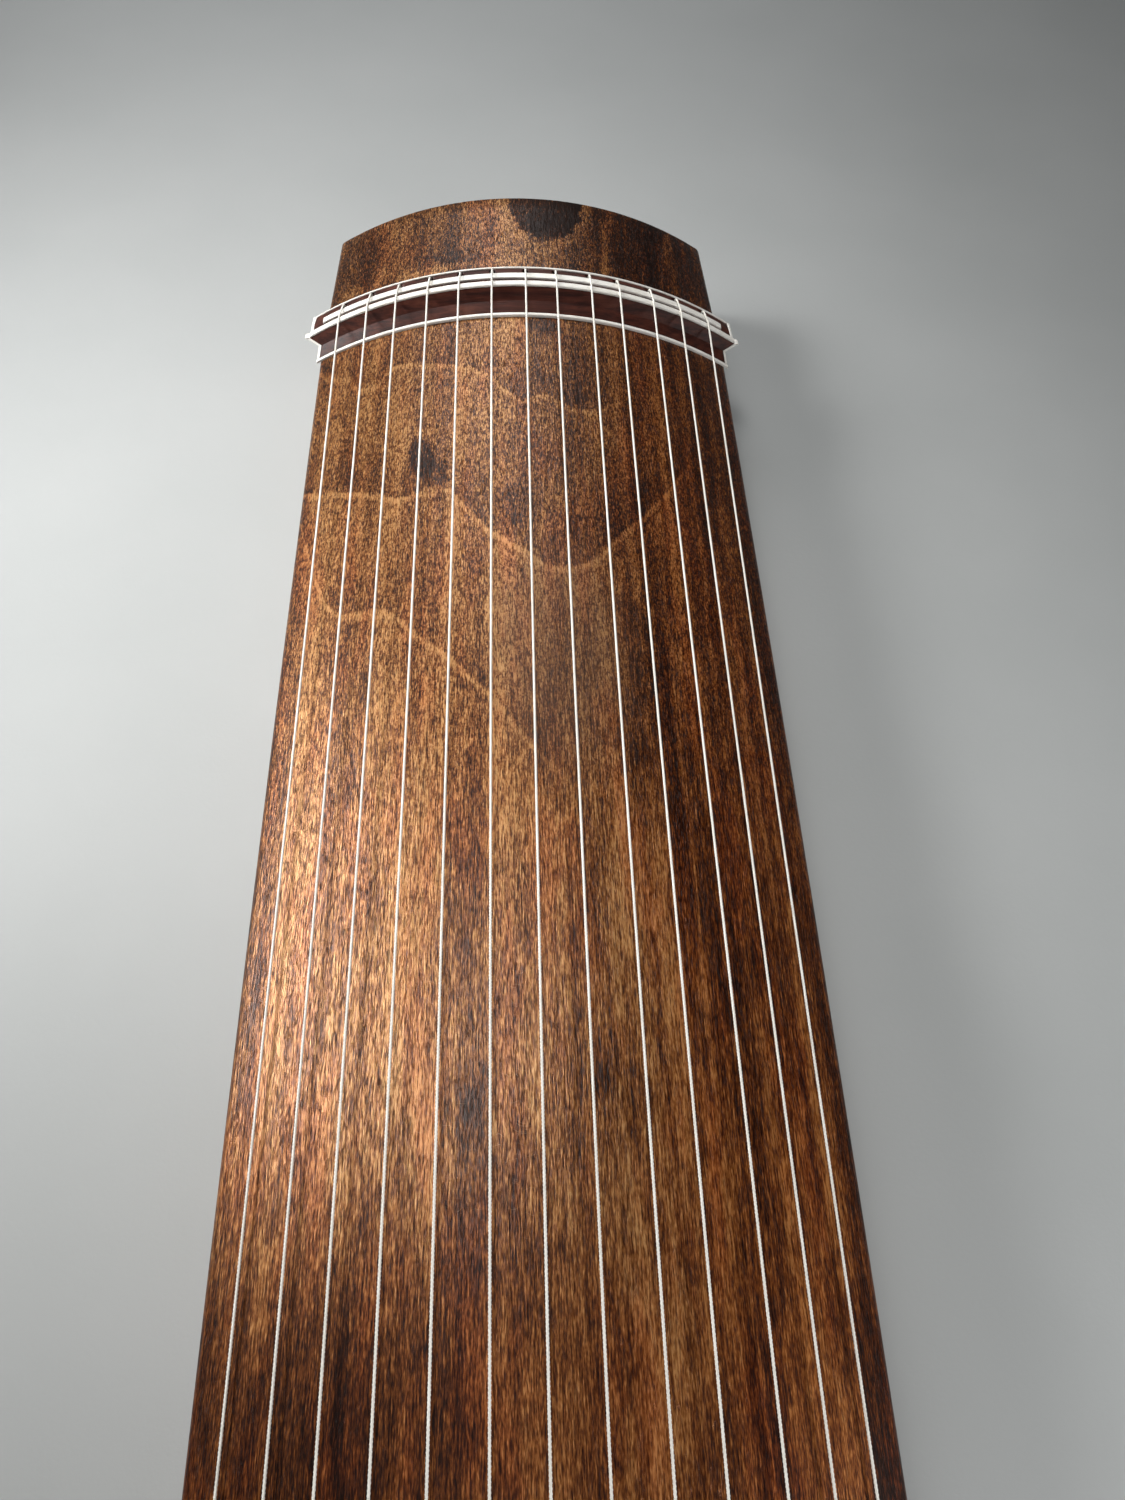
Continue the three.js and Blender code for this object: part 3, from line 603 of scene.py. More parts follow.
def resample(points, gap):
    p = np.array(points, float)
    s = np.concatenate([[0], np.cumsum(np.linalg.norm(np.diff(p, axis=0), axis=1))])
    keep = np.concatenate([[True], np.diff(s) > 1e-9])
    p, s = p[keep], s[keep]
    at = np.linspace(0, s[-1], max(2, int(math.ceil(s[-1] / gap)) + 1))
    return np.stack([np.interp(at, s, p[:, k]) for k in range(3)], 1)


def frames(path):
    """Tangents and turning-free normals along a path."""
    p = np.asarray(path, float)
    t = np.gradient(p, axis=0)
    t /= np.maximum(np.linalg.norm(t, axis=1), 1e-12)[:, None]
    first = np.cross(t[0], [0.123, 0.456, 0.88])
    first /= np.linalg.norm(first)
    normals = np.empty_like(p)
    normals[0] = first
    for i in range(1, len(p)):
        v = normals[i - 1] - t[i] * (normals[i - 1] @ t[i])
        normals[i] = v / max(np.linalg.norm(v), 1e-12)
    return t, normals, np.cross(t, normals)


def rope(path, angles, radii, sides):
    """A tube whose section is turned by angles[i] and has radii[i, side]."""
    _, nrm, bin_ = frames(path)
    phi = angles[:, None] + np.linspace(0, 2 * math.pi, sides, endpoint=False)[None, :]
    ring = (
        np.asarray(path)[:, None, :]
        + (radii * np.cos(phi))[:, :, None] * nrm[:, None, :]
        + (radii * np.sin(phi))[:, :, None] * bin_[:, None, :]
    )
    n = len(path)
    idx = np.arange(n * sides).reshape(n, sides)
    a, b = idx[:-1], idx[1:]
    quads = np.stack([a, np.roll(a, -1, 1), np.roll(b, -1, 1), b], -1).reshape(-1, 4)
    me = bpy.data.meshes.new("piece")
    me.vertices.add(n * sides)
    me.vertices.foreach_set("co", (ring.reshape(-1, 3) * MM).astype(np.float32).ravel())
    loops = np.concatenate([quads.ravel(), idx[0][::-1], idx[-1]])
    starts = np.concatenate([np.arange(len(quads)) * 4, [len(quads) * 4, len(quads) * 4 + sides]])
    me.loops.add(len(loops))
    me.loops.foreach_set("vertex_index", loops.astype(np.int32))
    me.polygons.add(len(starts))
    me.polygons.foreach_set("loop_start", starts.astype(np.int32))
    me.update(calc_edges=True)
    me.validate()
    return me


def plate(outline, holes, thickness, bevel, seg=3):
    """A flat plate from closed outlines in its own plane, centred on that plane, with rounded edges."""
    cu = bpy.data.curves.new("outline", "CURVE")
    cu.dimensions, cu.fill_mode = "2D", "BOTH"
    for loop in (outline, *holes):
        sp = cu.splines.new("POLY")
        sp.points.add(len(loop) - 1)
        for q, p in zip(sp.points, loop):
            q.co = (p[0] * MM, p[1] * MM, 0, 1)
        sp.use_cyclic_u = True
    cu.extrude = (thickness / 2 - bevel) * MM
    cu.bevel_depth, cu.bevel_resolution, cu.offset = bevel * MM, seg, -bevel * MM
    holder = bpy.data.objects.new("outline", cu)
    me = bpy.data.meshes.new_from_object(holder)
    bpy.data.objects.remove(holder)
    bpy.data.curves.remove(cu)
    bm = bmesh.new()
    bm.from_mesh(me)
    bmesh.ops.remove_doubles(bm, verts=bm.verts, dist=1e-7)
    bmesh.ops.recalc_face_normals(bm, faces=bm.faces)
    bm.to_mesh(me)
    bm.free()
    return me


UPRIGHT = Matrix(((1, 0, 0, 0), (0, 0, -1, 0), (0, 1, 0, 0), (0, 0, 0, 1)))  # a plate's Y becomes +Z


def rounded_rect(hx, hy, r, cx=0.0, cy=0.0, seg=6):
    out = []
    for kx, ky, start in ((1, -1, -90), (1, 1, 0), (-1, 1, 90), (-1, -1, 180)):
        for k in range(seg + 1):
            a = math.radians(start + 90 * k / seg)
            out.append((cx + kx * (hx - r) + r * math.cos(a), cy + ky * (hy - r) + r * math.sin(a)))
    return out


def crowned(half, bottom, side, top, n, corner=0.0):
    rise = top - side
    r = (half * half + rise * rise) / (2 * rise)
    pts = [(-half, bottom), (half, bottom)]
    for i in range(n + 1):
        x = half * (1 - 2 * i / n)
        pts.append((x, top - (r - math.sqrt(r * r - x * x))))
    if corner:
        radii = [corner] * 3 + [0] * (n - 1) + [corner]
        pts = [tuple(p) for p in fillet(pts, radii)]
    return pts


def cut(ob_mesh, cutter_mesh):
    """ob_mesh less cutter_mesh."""
    a = bpy.data.objects.new("cut_a", ob_mesh)
    b = bpy.data.objects.new("cut_b", cutter_mesh)
    scene.collection.objects.link(a)
    scene.collection.objects.link(b)
    m = a.modifiers.new("cut", "BOOLEAN")
    m.operation, m.solver, m.object = "DIFFERENCE", "EXACT", b
    bpy.context.view_layer.update()
    me = bpy.data.meshes.new_from_object(a.evaluated_get(bpy.context.evaluated_depsgraph_get()))
    bpy.data.objects.remove(a)
    bpy.data.objects.remove(b)
    return me


def drills(places, profile, sides=24):
    """Upright turned cutters, joined in one mesh: profile is (radius, z above the board), bottom to top."""
    verts, faces = [], []
    for x, Y in places:
        base = len(verts)
        z0 = top_z(x, Y)
        for r, z in profile:
            for k in range(sides):
                a = 2 * math.pi * k / sides
                verts.append((x + r * math.cos(a), Y + r * math.sin(a), z0 + z))
        for i in range(len(profile) - 1):
            for k in range(sides):
                j = (k + 1) % sides
                faces.append((base + i * sides + k, base + i * sides + j, base + (i + 1) * sides + j, base + (i + 1) * sides + k))
        faces.append([base + k for k in range(sides)][::-1])
        faces.append([base + (len(profile) - 1) * sides + k for k in range(sides)])
    return mesh_of(verts, faces)


# ---- spare string ends: wound coils at the tail, made first ------------------------------------
def coil_route(s):
    """From a hitch over the returning strings to a round coil, through its turns, and round it as a tie."""
    cx = s * COIL_X
    tilt = math.atan((top_z(cx + 1, COIL_Y) - top_z(cx - 1, COIL_Y)) / 2)
    rise = 9.45
    to = cx - math.sin(tilt) * rise
    ring_z = top_z(cx, COIL_Y) + math.cos(tilt) * rise
    start = TAIL_STRING_X[3 if s < 0 else 9] * TAIL_HOLE_SPREAD - 2.9
    w = lambda t: start + (to - start) * t
    lead = [
        (start, TAIL_CREST_Y - 15.2, top_z(start, TAIL_CREST_Y) + 11),
        (start, TAIL_CREST_Y - 17.4, top_z(start, TAIL_CREST_Y) + 11),
        (start, TAIL_CREST_Y - 19.6, top_z(start, TAIL_CREST_Y) + 11.3),
        (w(0.05), TAIL_CREST_Y - 21.6, top_z(w(0.05), TAIL_CREST_Y) + 11.2),
        (w(0.12), TAIL_CREST_Y - 24, top_z(w(0.12), TAIL_CREST_Y) + 9.8),
        (w(0.25), TAIL_CREST_Y - 28, top_z(w(0.25), TAIL_CREST_Y) + 7.2),
        (w(0.4), TAIL_CREST_Y - 33, top_z(w(0.4), -771) + 5.6),
        (w(0.6), TAIL_CREST_Y - 40, top_z(w(0.6), -778) + 5.2),
    ]
    # Places of the turns in the coil's section: a close-packed bundle, walked row by row.
    gap, most = 1.42, 3.75
    rows = []
    for r in range(-2, 3):
        level = r * gap * 0.866
        row = [(k + 0.5 * (r % 2)) * gap for k in range(-4, 5)]
        row = [(a, level) for a in row if math.hypot(a, level) <= most]
        rows.append(row if (r % 2) else row[::-1])
    cells = [c for row in rows[::-1] for c in row]
    per = 60
    rng = np.random.default_rng(11)
    waves = rng.uniform(0, 2 * math.pi, (len(cells), 2))
    pts = []
    for n, (a, b) in enumerate(cells):
        nxt = cells[n + 1] if n + 1 < len(cells) else cells[n]
        for k in range(per):
            t = k / per
            g = min(1.0, max(0.0, (t - 0.72) / 0.26))
            g = g * g * (3 - 2 * g)
            ra, rb = mix(a, nxt[0], g), mix(b, nxt[1], g)
            ra += 0.035 * math.sin(2 * math.pi * t * 2 + waves[n, 0])
            ang = math.pi / 2 - s * 2 * math.pi * t
            rad = COIL_R + ra
            pts.append((rad * math.cos(ang), rad * math.sin(ang), rb))
    # The end leaves its turn outward and is wound round the bundle.
    turns, around = 6.0, 5.35
    a, b = cells[-1]
    far = math.atan2(b, a)
    reach = math.hypot(a, b)
    steps = int(turns * 22)
    for k in range(1, steps + 1):
        t = k / steps
        grow = min(1.0, t * 7)
        grow = grow * grow * (3 - 2 * grow)
        out = mix(reach, around, grow)
        th = far + 2 * math.pi * turns * max(0.0, t - 0.02)
        ang = math.pi / 2 - s * (0.02 + t * turns * 1.55 / COIL_R + 0.10 * grow)
        pts.append(((COIL_R + out * math.cos(th)) * math.cos(ang), (COIL_R + out * math.cos(th)) * math.sin(ang), out * math.sin(th)))
    placed = []
    for px, py, pz in pts:
        qx, qz = px * math.cos(tilt) - pz * math.sin(tilt), px * math.sin(tilt) + pz * math.cos(tilt)
        sag = px * px / (2 * CROWN_R) * 0.9
        placed.append((to + qx, COIL_Y + py, ring_z + qz - sag))
    first = placed[0]
    # The lead comes down beside the ring and joins its first turn along its own direction.
    side = 1 if placed[1][0] > placed[0][0] else -1
    join = [
        (first[0] - side * 17, first[1] + 4.6, first[2] - 2.2),
        (first[0] - side * 9, first[1] + 1.5, first[2] - 0.6),
        (first[0] - side * 4, first[1] + 0.25, first[2] - 0.1),
    ]
    line = fillet(lead + join + [first], 5.0, 5, closed=False) + placed[1:]
    return np.array([tuple(p) for p in line]), lead[0]


def make_coil(side, s):
    route, start = coil_route(s)
    cu = bpy.data.curves.new("spare_string_" + side, "CURVE")
    cu.dimensions = "3D"
    sp = cu.splines.new("POLY")
    sp.points.add(len(route) - 1)
    for q, p in zip(sp.points, route):
        q.co = (p[0] * MM, p[1] * MM, p[2] * MM, 1)
    cu.bevel_depth, cu.bevel_resolution, cu.use_fill_caps = STRING_R * MM, 2, True
    cu.materials.append(CORD)
    ob = bpy.data.objects.new("spare_string_" + side, cu)
    scene.collection.objects.link(ob)
    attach(ob, "root")
    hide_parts("spare_string_coil_" + side, "spare_string_lead_" + side)
    long = float(np.linalg.norm(np.diff(route, axis=0), axis=1).sum()) * MM
    return long


COIL_LENGTHS = [make_coil("left", -1), make_coil("right", 1)]


# ---- strings -----------------------------------------------------------------------------------
LAY = 4.4  # one turn of the three strands


def string_path(i):
    n = i - 6
    xc, xt = HEAD_STRING_X[i], TAIL_STRING_X[i]
    xh, xd = xc * HEAD_HOLE_SPREAD, xt * TAIL_HOLE_SPREAD
    xs, xe = n * 7.4, n * 16.0
    xr = xd + 2.7
    H = lambda x, b, z: (x, HEAD_CREST_Y + b, top_z(x, HEAD_CREST_Y) + z)
    T = lambda x, b, z: (x, TAIL_CREST_Y - b, top_z(x, TAIL_CREST_Y) + z)
    over = lambda x, Y, z: (x, Y, top_z(x, Y) + z)
    hole_in = inner_z(xh, HEAD_CREST_Y + HOLE_OFFSET)
    rear = SOUND_TAIL_Y - SOUND_Y
    # Round the rolled paper inside the head, then up through the hole.
    zc = hole_in - 3.9
    knot = []
    for k in range(40):
        t = k / 39
        th = -3.3 * math.pi * (1 - t)
        knot.append((xh + 3.2 * math.cos(th), HEAD_CREST_Y + HOLE_OFFSET - 1.6 + 1.6 * t, zc + 3.2 * math.sin(th)))
    pts = knot + [
        (xh + 2.4, HEAD_CREST_Y + HOLE_OFFSET, zc + 2.6),
        (xh, HEAD_CREST_Y + HOLE_OFFSET, hole_in + 1),
        H(xh, HOLE_OFFSET - 0.1, 9.2),
        H(mix(xh, xc, 0.15), 15.2, 11.6),
        H(mix(xh, xc, 0.3), 13.3, 12.3),
        H(xc, 3.4, STRING_RISE),
        H(xc, 1.0, STRING_RISE),
        T(xt, 1.0, STRING_RISE),
        T(xt, 3.4, STRING_RISE),
        T(mix(xd, xt, 0.3), 13.3, 12.3),
        T(mix(xd, xt, 0.15), 15.3, 11.4),
        T(xd, HOLE_OFFSET - 0.1, 9.2),
        (xd, TAIL_CREST_Y - HOLE_OFFSET, inner_z(xd, TAIL_CREST_Y - HOLE_OFFSET) - 2),
        (mix(xd, xs, 0.08), TAIL_CREST_Y - HOLE_OFFSET - 4, inner_z(xd, TAIL_CREST_Y - HOLE_OFFSET) - 5),
        (mix(xd, xs, 0.95), rear + 4.5, 23),
        (xs, rear + 1.5, 16),
        (xs, rear + 1.4, 9),
        (mix(xs, xe, 0.02), rear - 0.3, 7.6),
        (mix(xs, xe, 0.08), rear - 4, 7.6),
        (mix(xs, xe, 0.98), TAIL_END_Y + 2.4, 7.6),
        (xe, TAIL_END_Y - 0.7, 7.9),
        (xe, TAIL_END_Y - 1.3, 9.6),
        (xe, TAIL_END_Y - 1.3, top_z(xe, TAIL_END_Y) - 1),
        over(xe, TAIL_END_Y - 0.6, 1.7),
        over(mix(xe, xr, 0.02), TAIL_END_Y + 2.4, 2.8),
        over(mix(xe, xr, 0.35), mix(TAIL_END_Y + 2.4, -763.5, 0.35), 2.8),
        over(mix(xe, xr, 0.7), mix(TAIL_END_Y + 2.4, -763.5, 0.7), 2.8),
        over(xr, -762.5, 3.4),
        over(xr, -760.4, 7),
        T(xr, 20.9, 10.4),
        T(xr, 19.6, 11),
        T(xr, 17.6, 11),
    ]
    # A hitch of two turns round the string's own standing part, then the end lies back beside it.
    a0, a1 = np.array(T(mix(xd, xt, 0.13), 15.7, 11.25)), np.array(T(mix(xd, xt, 0.27), 13.9, 12.1))
    axis = (a1 - a0) / np.linalg.norm(a1 - a0)
    up = np.array([0, 0, 1.0]) - axis * axis[2]
    up /= np.linalg.norm(up)
    out = np.cross(axis, up)
    if out[0] < 0:
        out = -out
    hitch = []
    for k in range(31):
        t = k / 30
        th = 2 * math.pi * 2.0 * t
        hitch.append(tuple(a0 + (a1 - a0) * t + 1.32 * (math.cos(th) * out + math.sin(th) * up)))
    end = [hitch[-1], tuple(np.array(hitch[-1]) + (0.5, -1.8, 0.9)), tuple(np.array(hitch[-1]) + (1.4, -3.6, 1.2))]
    return fillet(pts + hitch, 2.0, 5, closed=False) + [np.array(e) for e in end[1:]]


def make_string(i):
    dense = resample(string_path(i), 0.12)
    seg = np.concatenate([[0], np.cumsum(np.linalg.norm(np.diff(dense, axis=0), axis=1))])
    shown = np.array([p[2] > top_z(max(-half_width(p[1]), min(half_width(p[1]), p[0])), p[1]) - 6 for p in dense])
    inside_head = dense[:, 1] > HEAD_CREST_Y + 14
    stations, at = [0.0], 0.0
    while at < seg[-1]:
        j = min(len(seg) - 1, int(np.searchsorted(seg, at)))
        at += 0.49 if shown[j] else (0.9 if inside_head[j] else 1.6)
        stations.append(min(at, seg[-1]))
    stations = np.array(stations)
    path = np.stack([np.interp(stations, seg, dense[:, k]) for k in range(3)], 1)
    seen = np.interp(stations, seg, shown.astype(float))
    seen = np.convolve(np.pad(seen, 3, mode="edge"), np.ones(7) / 7, "valid")
    gaps = np.diff(stations, prepend=0.0)
    angle = np.cumsum(gaps * seen) * 2 * math.pi / LAY + 0.7 * i
    depth = 0.17 * seen
    valley = STRING_R * (1 - depth)
    radii = np.stack([np.full(len(path), STRING_R), valley] * 3, 1)
    me = rope(path, angle, radii, 6)
    return finish_piece("string_%02d_twisted" % (i + 1), me, CORD, ["string_%02d" % (i + 1)], sharp=0)


for i in range(13):
    make_string(i)


def make_toggle(i):
    """Paper rolled tight round itself, with its outer edge showing."""
    xh = HEAD_STRING_X[i] * HEAD_HOLE_SPREAD
    Y = HEAD_CREST_Y + HOLE_OFFSET
    zc = inner_z(xh, Y) - 3.9
    turns, n = 3.6, 110
    outer, inner = [], []
    for k in range(n + 1):
        th = 2 * math.pi * turns * k / n
        r = mix(0.55, 2.5, k / n)
        a = th + 0.9 * i
        outer.append((r * math.cos(a), r * math.sin(a)))
        r -= 0.30
        inner.append((max(r, 0.2) * math.cos(a), max(r, 0.2) * math.sin(a)))
    verts, faces = [], []
    for y, shrink in ((-8.0, 0.0), (8.0, 0.0)):
        for line in (outer, inner):
            verts += [(xh + p[0], Y + y, zc + p[1]) for p in line]
    m = n + 1
    for k in range(n):
        faces += [
            (k, k + 1, 2 * m + k + 1, 2 * m + k),
            (m + k, 3 * m + k, 3 * m + k + 1, m + k + 1),
            (k, m + k, m + k + 1, k + 1),
            (2 * m + k, 2 * m + k + 1, 3 * m + k + 1, 3 * m + k),
        ]
    faces += [(0, 2 * m, 3 * m, m), (n, m + n, 3 * m + n, 2 * m + n)]
    me = mesh_of(verts, faces)
    return finish_piece("rolled_paper_%02d" % (i + 1), me, PAPER, ["string_toggle_%02d" % (i + 1)], sharp=40)


for i in range(13):
    make_toggle(i)


# ---- body ---------------------------------------------------------------------------------------
def shell_outline(inset):
    """The shell's section at the reference width, its edges drawn in by inset."""
    low = BACK_TOP_Z + GAP
    outer_half, inner_half = REF_HALF_WIDTH - inset, INNER_HALF + inset
    r = CROWN_R - inset
    side_z = BOARD_TOP_Z - inset - (r - math.sqrt(r * r - outer_half**2))
    arc = []
    n = 110
    for k in range(n + 1):
        x = outer_half * (1 - 2 * k / n)
        arc.append((x, BOARD_TOP_Z - inset - (r - math.sqrt(r * r - x * x))))
    # Rounded arris between crown and side.
    corner = 2.2
    def soften(points, s):
        e = np.array((s * outer_half, side_z))
        down = e + (0, -corner)
        flat = [p for p in points if math.hypot(p[0] - e[0], p[1] - e[1]) > corner]
        near = np.array(min(flat, key=lambda p: math.hypot(p[0] - e[0], p[1] - e[1])))
        bend = [tuple((1 - t) ** 2 * down + 2 * t * (1 - t) * e + t * t * near) for t in (0, 0.25, 0.5, 0.75)]
        return bend, flat
    right, arc = soften(arc, 1)
    left, arc = soften(arc, -1)
    outer = [(outer_half, low + inset)] + right + arc + left[::-1] + [(-outer_half, low + inset)]
    inner = [(-inner_half, low + inset)]
    m = 36
    ri = INNER_R + inset
    for k in range(m + 1):
        x = -inner_half + 2 * inner_half * k / m
        inner.append((x, INNER_TOP_Z + inset - (ri - math.sqrt(max(0.0, ri * ri - x * x)))))
    inner.append((inner_half, low + inset))
    return outer + inner, len(outer)


def shell_mesh():
    bevel = 1.1
    stations = [(HEAD_END_Y - bevel * (1 - math.cos(math.pi / 2 * k / 3)), bevel * (1 - math.sin(math.pi / 2 * k / 3))) for k in range(4)]
    mid = list(np.linspace(HEAD_END_Y - 12, HEAD_CREST_Y + 12, 6)) + list(np.linspace(HEAD_CREST_Y - 8, TAIL_CREST_Y + 8, 56))
    mid += list(np.linspace(TAIL_CREST_Y - 12, TAIL_END_Y + 12, 8))
    stations += [(Y, 0.0) for Y in mid]
    stations += [(TAIL_END_Y + bevel * (1 - math.cos(math.pi / 2 * k / 3)), bevel * (1 - math.sin(math.pi / 2 * k / 3))) for k in range(4)][::-1]
    rings = []
    for Y, inset in stations:
        pts, n_outer = shell_outline(inset)
        k = half_width(Y) / REF_HALF_WIDTH
        rings.append([(x * k, Y, z + arch(Y) if z > BACK_TOP_Z + 4 else z) for x, z in pts])
    return loft(rings), n_outer


def inside_faces(me, test):
    """Faces that pass the test take the second material."""
    for p in me.polygons:
        c = p.center / MM
        if test(c, p.normal):
            p.material_index = 1


shell, _ = shell_mesh()
holes = [(x * HEAD_HOLE_SPREAD, HEAD_CREST_Y + HOLE_OFFSET) for x in HEAD_STRING_X]
holes += [(x * TAIL_HOLE_SPREAD, TAIL_CREST_Y - HOLE_OFFSET) for x in TAIL_STRING_X]
shell = cut(shell, drills(holes, [(STRING_HOLE_R, -60), (STRING_HOLE_R, 20)]))
body = finish_piece("soundboard_shell", shell, WOOD, ["top_shell"], sharp=32, extra=(RAW,))


def is_inner(c, normal):
    if abs(c.y) > 896:
        return False
    k = half_width(c.y) / REF_HALF_WIDTH
    return abs(c.x) < (INNER_HALF + 0.3) * k and c.z < inner_z(max(-INNER_HALF * k, min(INNER_HALF * k, c.x)), c.y) + 0.6


inside_faces(shell, is_inner)


def board_outline(inset=0.0):
    ys = list(np.linspace(HEAD_END_Y, HEAD_CREST_Y, 5)) + list(np.linspace(HEAD_CREST_Y, TAIL_END_Y, 46))[1:]
    right = [(half_width(y), y) for y in ys]
    return [(x, y) for x, y in right] + [(-x, y) for x, y in right[::-1]]


back = plate(
    board_outline(),
    [rounded_rect(SOUND_X, SOUND_Y, SOUND_CORNER, 0, SOUND_HEAD_Y), rounded_rect(SOUND_X, SOUND_Y, SOUND_CORNER, 0, SOUND_TAIL_Y)],
    BACK_TOP_Z - BACK_BOTTOM_Z, 0.9,
)
back.transform(Matrix.Translation((0, 0, (BACK_BOTTOM_Z + BACK_TOP_Z) / 2 * MM)))
finish_piece("back_board_piece", back, WOOD_PLAIN, ["back_board"], sharp=32)


def cross_board(name, node, y_front, y_back, window, material):
    k = min(half_width(y_front), half_width(y_back)) / REF_HALF_WIDTH
    low = min(arch(y_front), arch(y_back))
    outline = crowned(INNER_HALF * k - 0.5, BACK_TOP_Z + 2 * GAP, INNER_SIDE_Z + low - 0.6, INNER_TOP_Z + low - 0.5, 40, 1.5)
    me = plate(outline, [rounded_rect(window, 11, 8, 0, 38)] if window else [], abs(y_front - y_back), 0.6)
    me.transform(Matrix.Translation((0, (y_front + y_back) / 2 * MM, 0)) @ UPRIGHT)
    finish_piece(name, me, material, [node], sharp=32)


cross_board("head_end_piece", "head_end_board", HEAD_END_Y - 4, HEAD_END_Y - 16, 0, WOOD_PLAIN)
cross_board("tail_end_piece", "tail_end_board", TAIL_END_Y + 14, TAIL_END_Y + 3, 0, WOOD_PLAIN)
cross_board("bulkhead_head_piece", "bulkhead_head", 565, 555, 62, RAW)
cross_board("bulkhead_middle_piece", "bulkhead_middle", 39, 29, 62, RAW)
cross_board("bulkhead_tail_piece", "bulkhead_tail", -505, -515, 62, RAW)

# Panel and white border let into the head's end.
k_end = half_width(HEAD_END_Y) / REF_HALF_WIDTH
end_half = INNER_HALF * k_end


def rim(d, n=48):
    return crowned(end_half - d, BACK_TOP_Z + d, INNER_SIDE_Z - d * 0.6, INNER_TOP_Z - 0.5 - d, n, 2.0)


border = plate(rim(4), [rim(7.2)], 2.3, 0.45)
border.transform(Matrix.Translation((0, (HEAD_END_Y - 2.55) * MM, 0)) @ UPRIGHT)
finish_piece("tongue_border_piece", border, IVORY, ["tongue_border"], sharp=32)
panel = plate(rim(7.6), [], 1.8, 0.4)
panel.transform(Matrix.Translation((0, (HEAD_END_Y - 2.8) * MM, 0)) @ UPRIGHT)
finish_piece("tongue_panel_piece", panel, ROSE_X, ["tongue_panel"], sharp=32)


# ---- saddles --------------------------------------------------------------------------------------
def make_saddle(prefix, crest_y, direction):
    wide = half_width(crest_y)
    lower_end = lambda z: wide + 1.2 - 2 * z / NOTCH_Z
    upper_end = lambda z: wide - 0.8 + (WING_TIP + 0.8) * (z - NOTCH_Z) / (12.5 - NOTCH_Z)
    both_ends = lambda z: lower_end(z) if z < NOTCH_Z else upper_end(z)

    def place(x, b, z):
        Y = crest_y + direction * b
        return (x, Y, top_z(x, crest_y) + (arch(Y) - arch(crest_y)) + z)

    def strip(profile, end, steps=150, split=None, shrink=0.35):
        """The profile carried across, its two ends slightly rounded off."""
        us = [-1.0] + list(np.linspace(-1, 1, steps))[1:-1] + [1.0]
        pts = [np.array(p) for p in profile]
        mid = np.mean(pts, 0)
        rings = []
        for u in us:
            rings.append([place(u * end(p[1]), p[0], p[1]) for p in pts])
        if shrink:
            for sign, at in ((-1, 0), (1, len(rings))):
                cap = []
                for p in pts:
                    q = p + (mid - p) / max(np.linalg.norm(mid - p), 1e-6) * shrink
                    cap.append(place(sign * (end(q[1])), q[0], q[1]))
                edge = rings[0] if sign < 0 else rings[-1]
                for j, p in enumerate(pts):
                    edge[j] = place(sign * (end(p[1]) - shrink), p[0], p[1])
                rings.insert(at, cap)
        loops = None
        if split is not None:
            n = len(pts)
            i, j = sorted(split)
            loops = [list(range(i, j + 1)), list(range(j, n)) + list(range(0, i + 1))]
        return loft(rings, loops)

    corners = [(-11.4, 0.05), (-11.4, 1.4), (-5.1, 5.0), (-0.2, 11.0), (4.4, 11.0), (4.4, 9.9), (13.4, 9.7), (20.6, 8.9), (20.6, 5.0), (20.6, 0.05)]
    profile, marks = [], []
    for i, c in enumerate(corners):
        radius = {1: 0.5, 2: 0.9, 6: 1.0, 7: 0.7}.get(i, 0)
        a, b = corners[i - 1], corners[(i + 1) % len(corners)]
        bent = fillet([a, c, b], [0, radius, 0], 4)[1:-1] if radius else [np.array(c)]
        if i in (2, 8):
            marks.append(len(profile) + len(bent) // 2)
        profile += [tuple(p) for p in bent]
    bar = strip(profile, both_ends, split=marks, shrink=0)
    places = [(x * (HEAD_HOLE_SPREAD if direction > 0 else TAIL_HOLE_SPREAD), crest_y + direction * HOLE_OFFSET)
              for x in (HEAD_STRING_X if direction > 0 else TAIL_STRING_X)]
    bar = cut(bar, drills(places, [(STRING_HOLE_R, -14), (STRING_HOLE_R, 8.7), (STRING_HOLE_R + 0.9, 9.75), (STRING_HOLE_R + 0.9, 16)], 28))
    finish_piece(prefix + "_bar_piece", bar, ROSE_X, [prefix + "_bar"], sharp=28)

    crest = [(0, 11.25), (0, 11.9)] + [
        (2.1 - 2.1 * math.cos(a), 11.9 + 0.85 * math.sin(a) ** 0.75) for a in np.linspace(0.12, math.pi - 0.12, 13)
    ] + [(4.2, 11.9), (4.2, 11.25)]
    me = strip(crest, lambda z: upper_end(11.3), shrink=0.25)
    finish_piece(prefix + "_crest_piece", me, IVORY, [prefix + "_crest"], sharp=40)

    foot = fillet([(-14.1, 0.05), (-14.1, 1.9), (-11.8, 1.9), (-11.8, 0.05)], [0, 0.95, 0.7, 0], 5)
    me = strip([tuple(p) for p in foot], lambda z: lower_end(0) + 1.4, shrink=0.4)
    finish_piece(prefix + "_foot_line_piece", me, IVORY, [prefix + "_foot_line"], sharp=50)

    band = fillet([(8.6, 9.76), (8.6, 11.1), (13.1, 11.1), (13.1, 9.68)], [0, 0.6, 0.6, 0], 4)
    me = strip([tuple(p) for p in band], lambda z: lower_end(0) - 2.7, shrink=0.3)
    finish_piece(prefix + "_second_band_piece", me, IVORY, [prefix + "_second_band"], sharp=50)

    rear = fillet([(19.2, 9.05), (19.2, 9.85), (20.5, 9.75), (20.5, 8.95)], [0, 0.35, 0.35, 0], 3)
    me = strip([tuple(p) for p in rear], lambda z: upper_end(9.2), shrink=0.2)
    finish_piece(prefix + "_rear_line_piece", me, IVORY, [prefix + "_rear_line"], sharp=50)

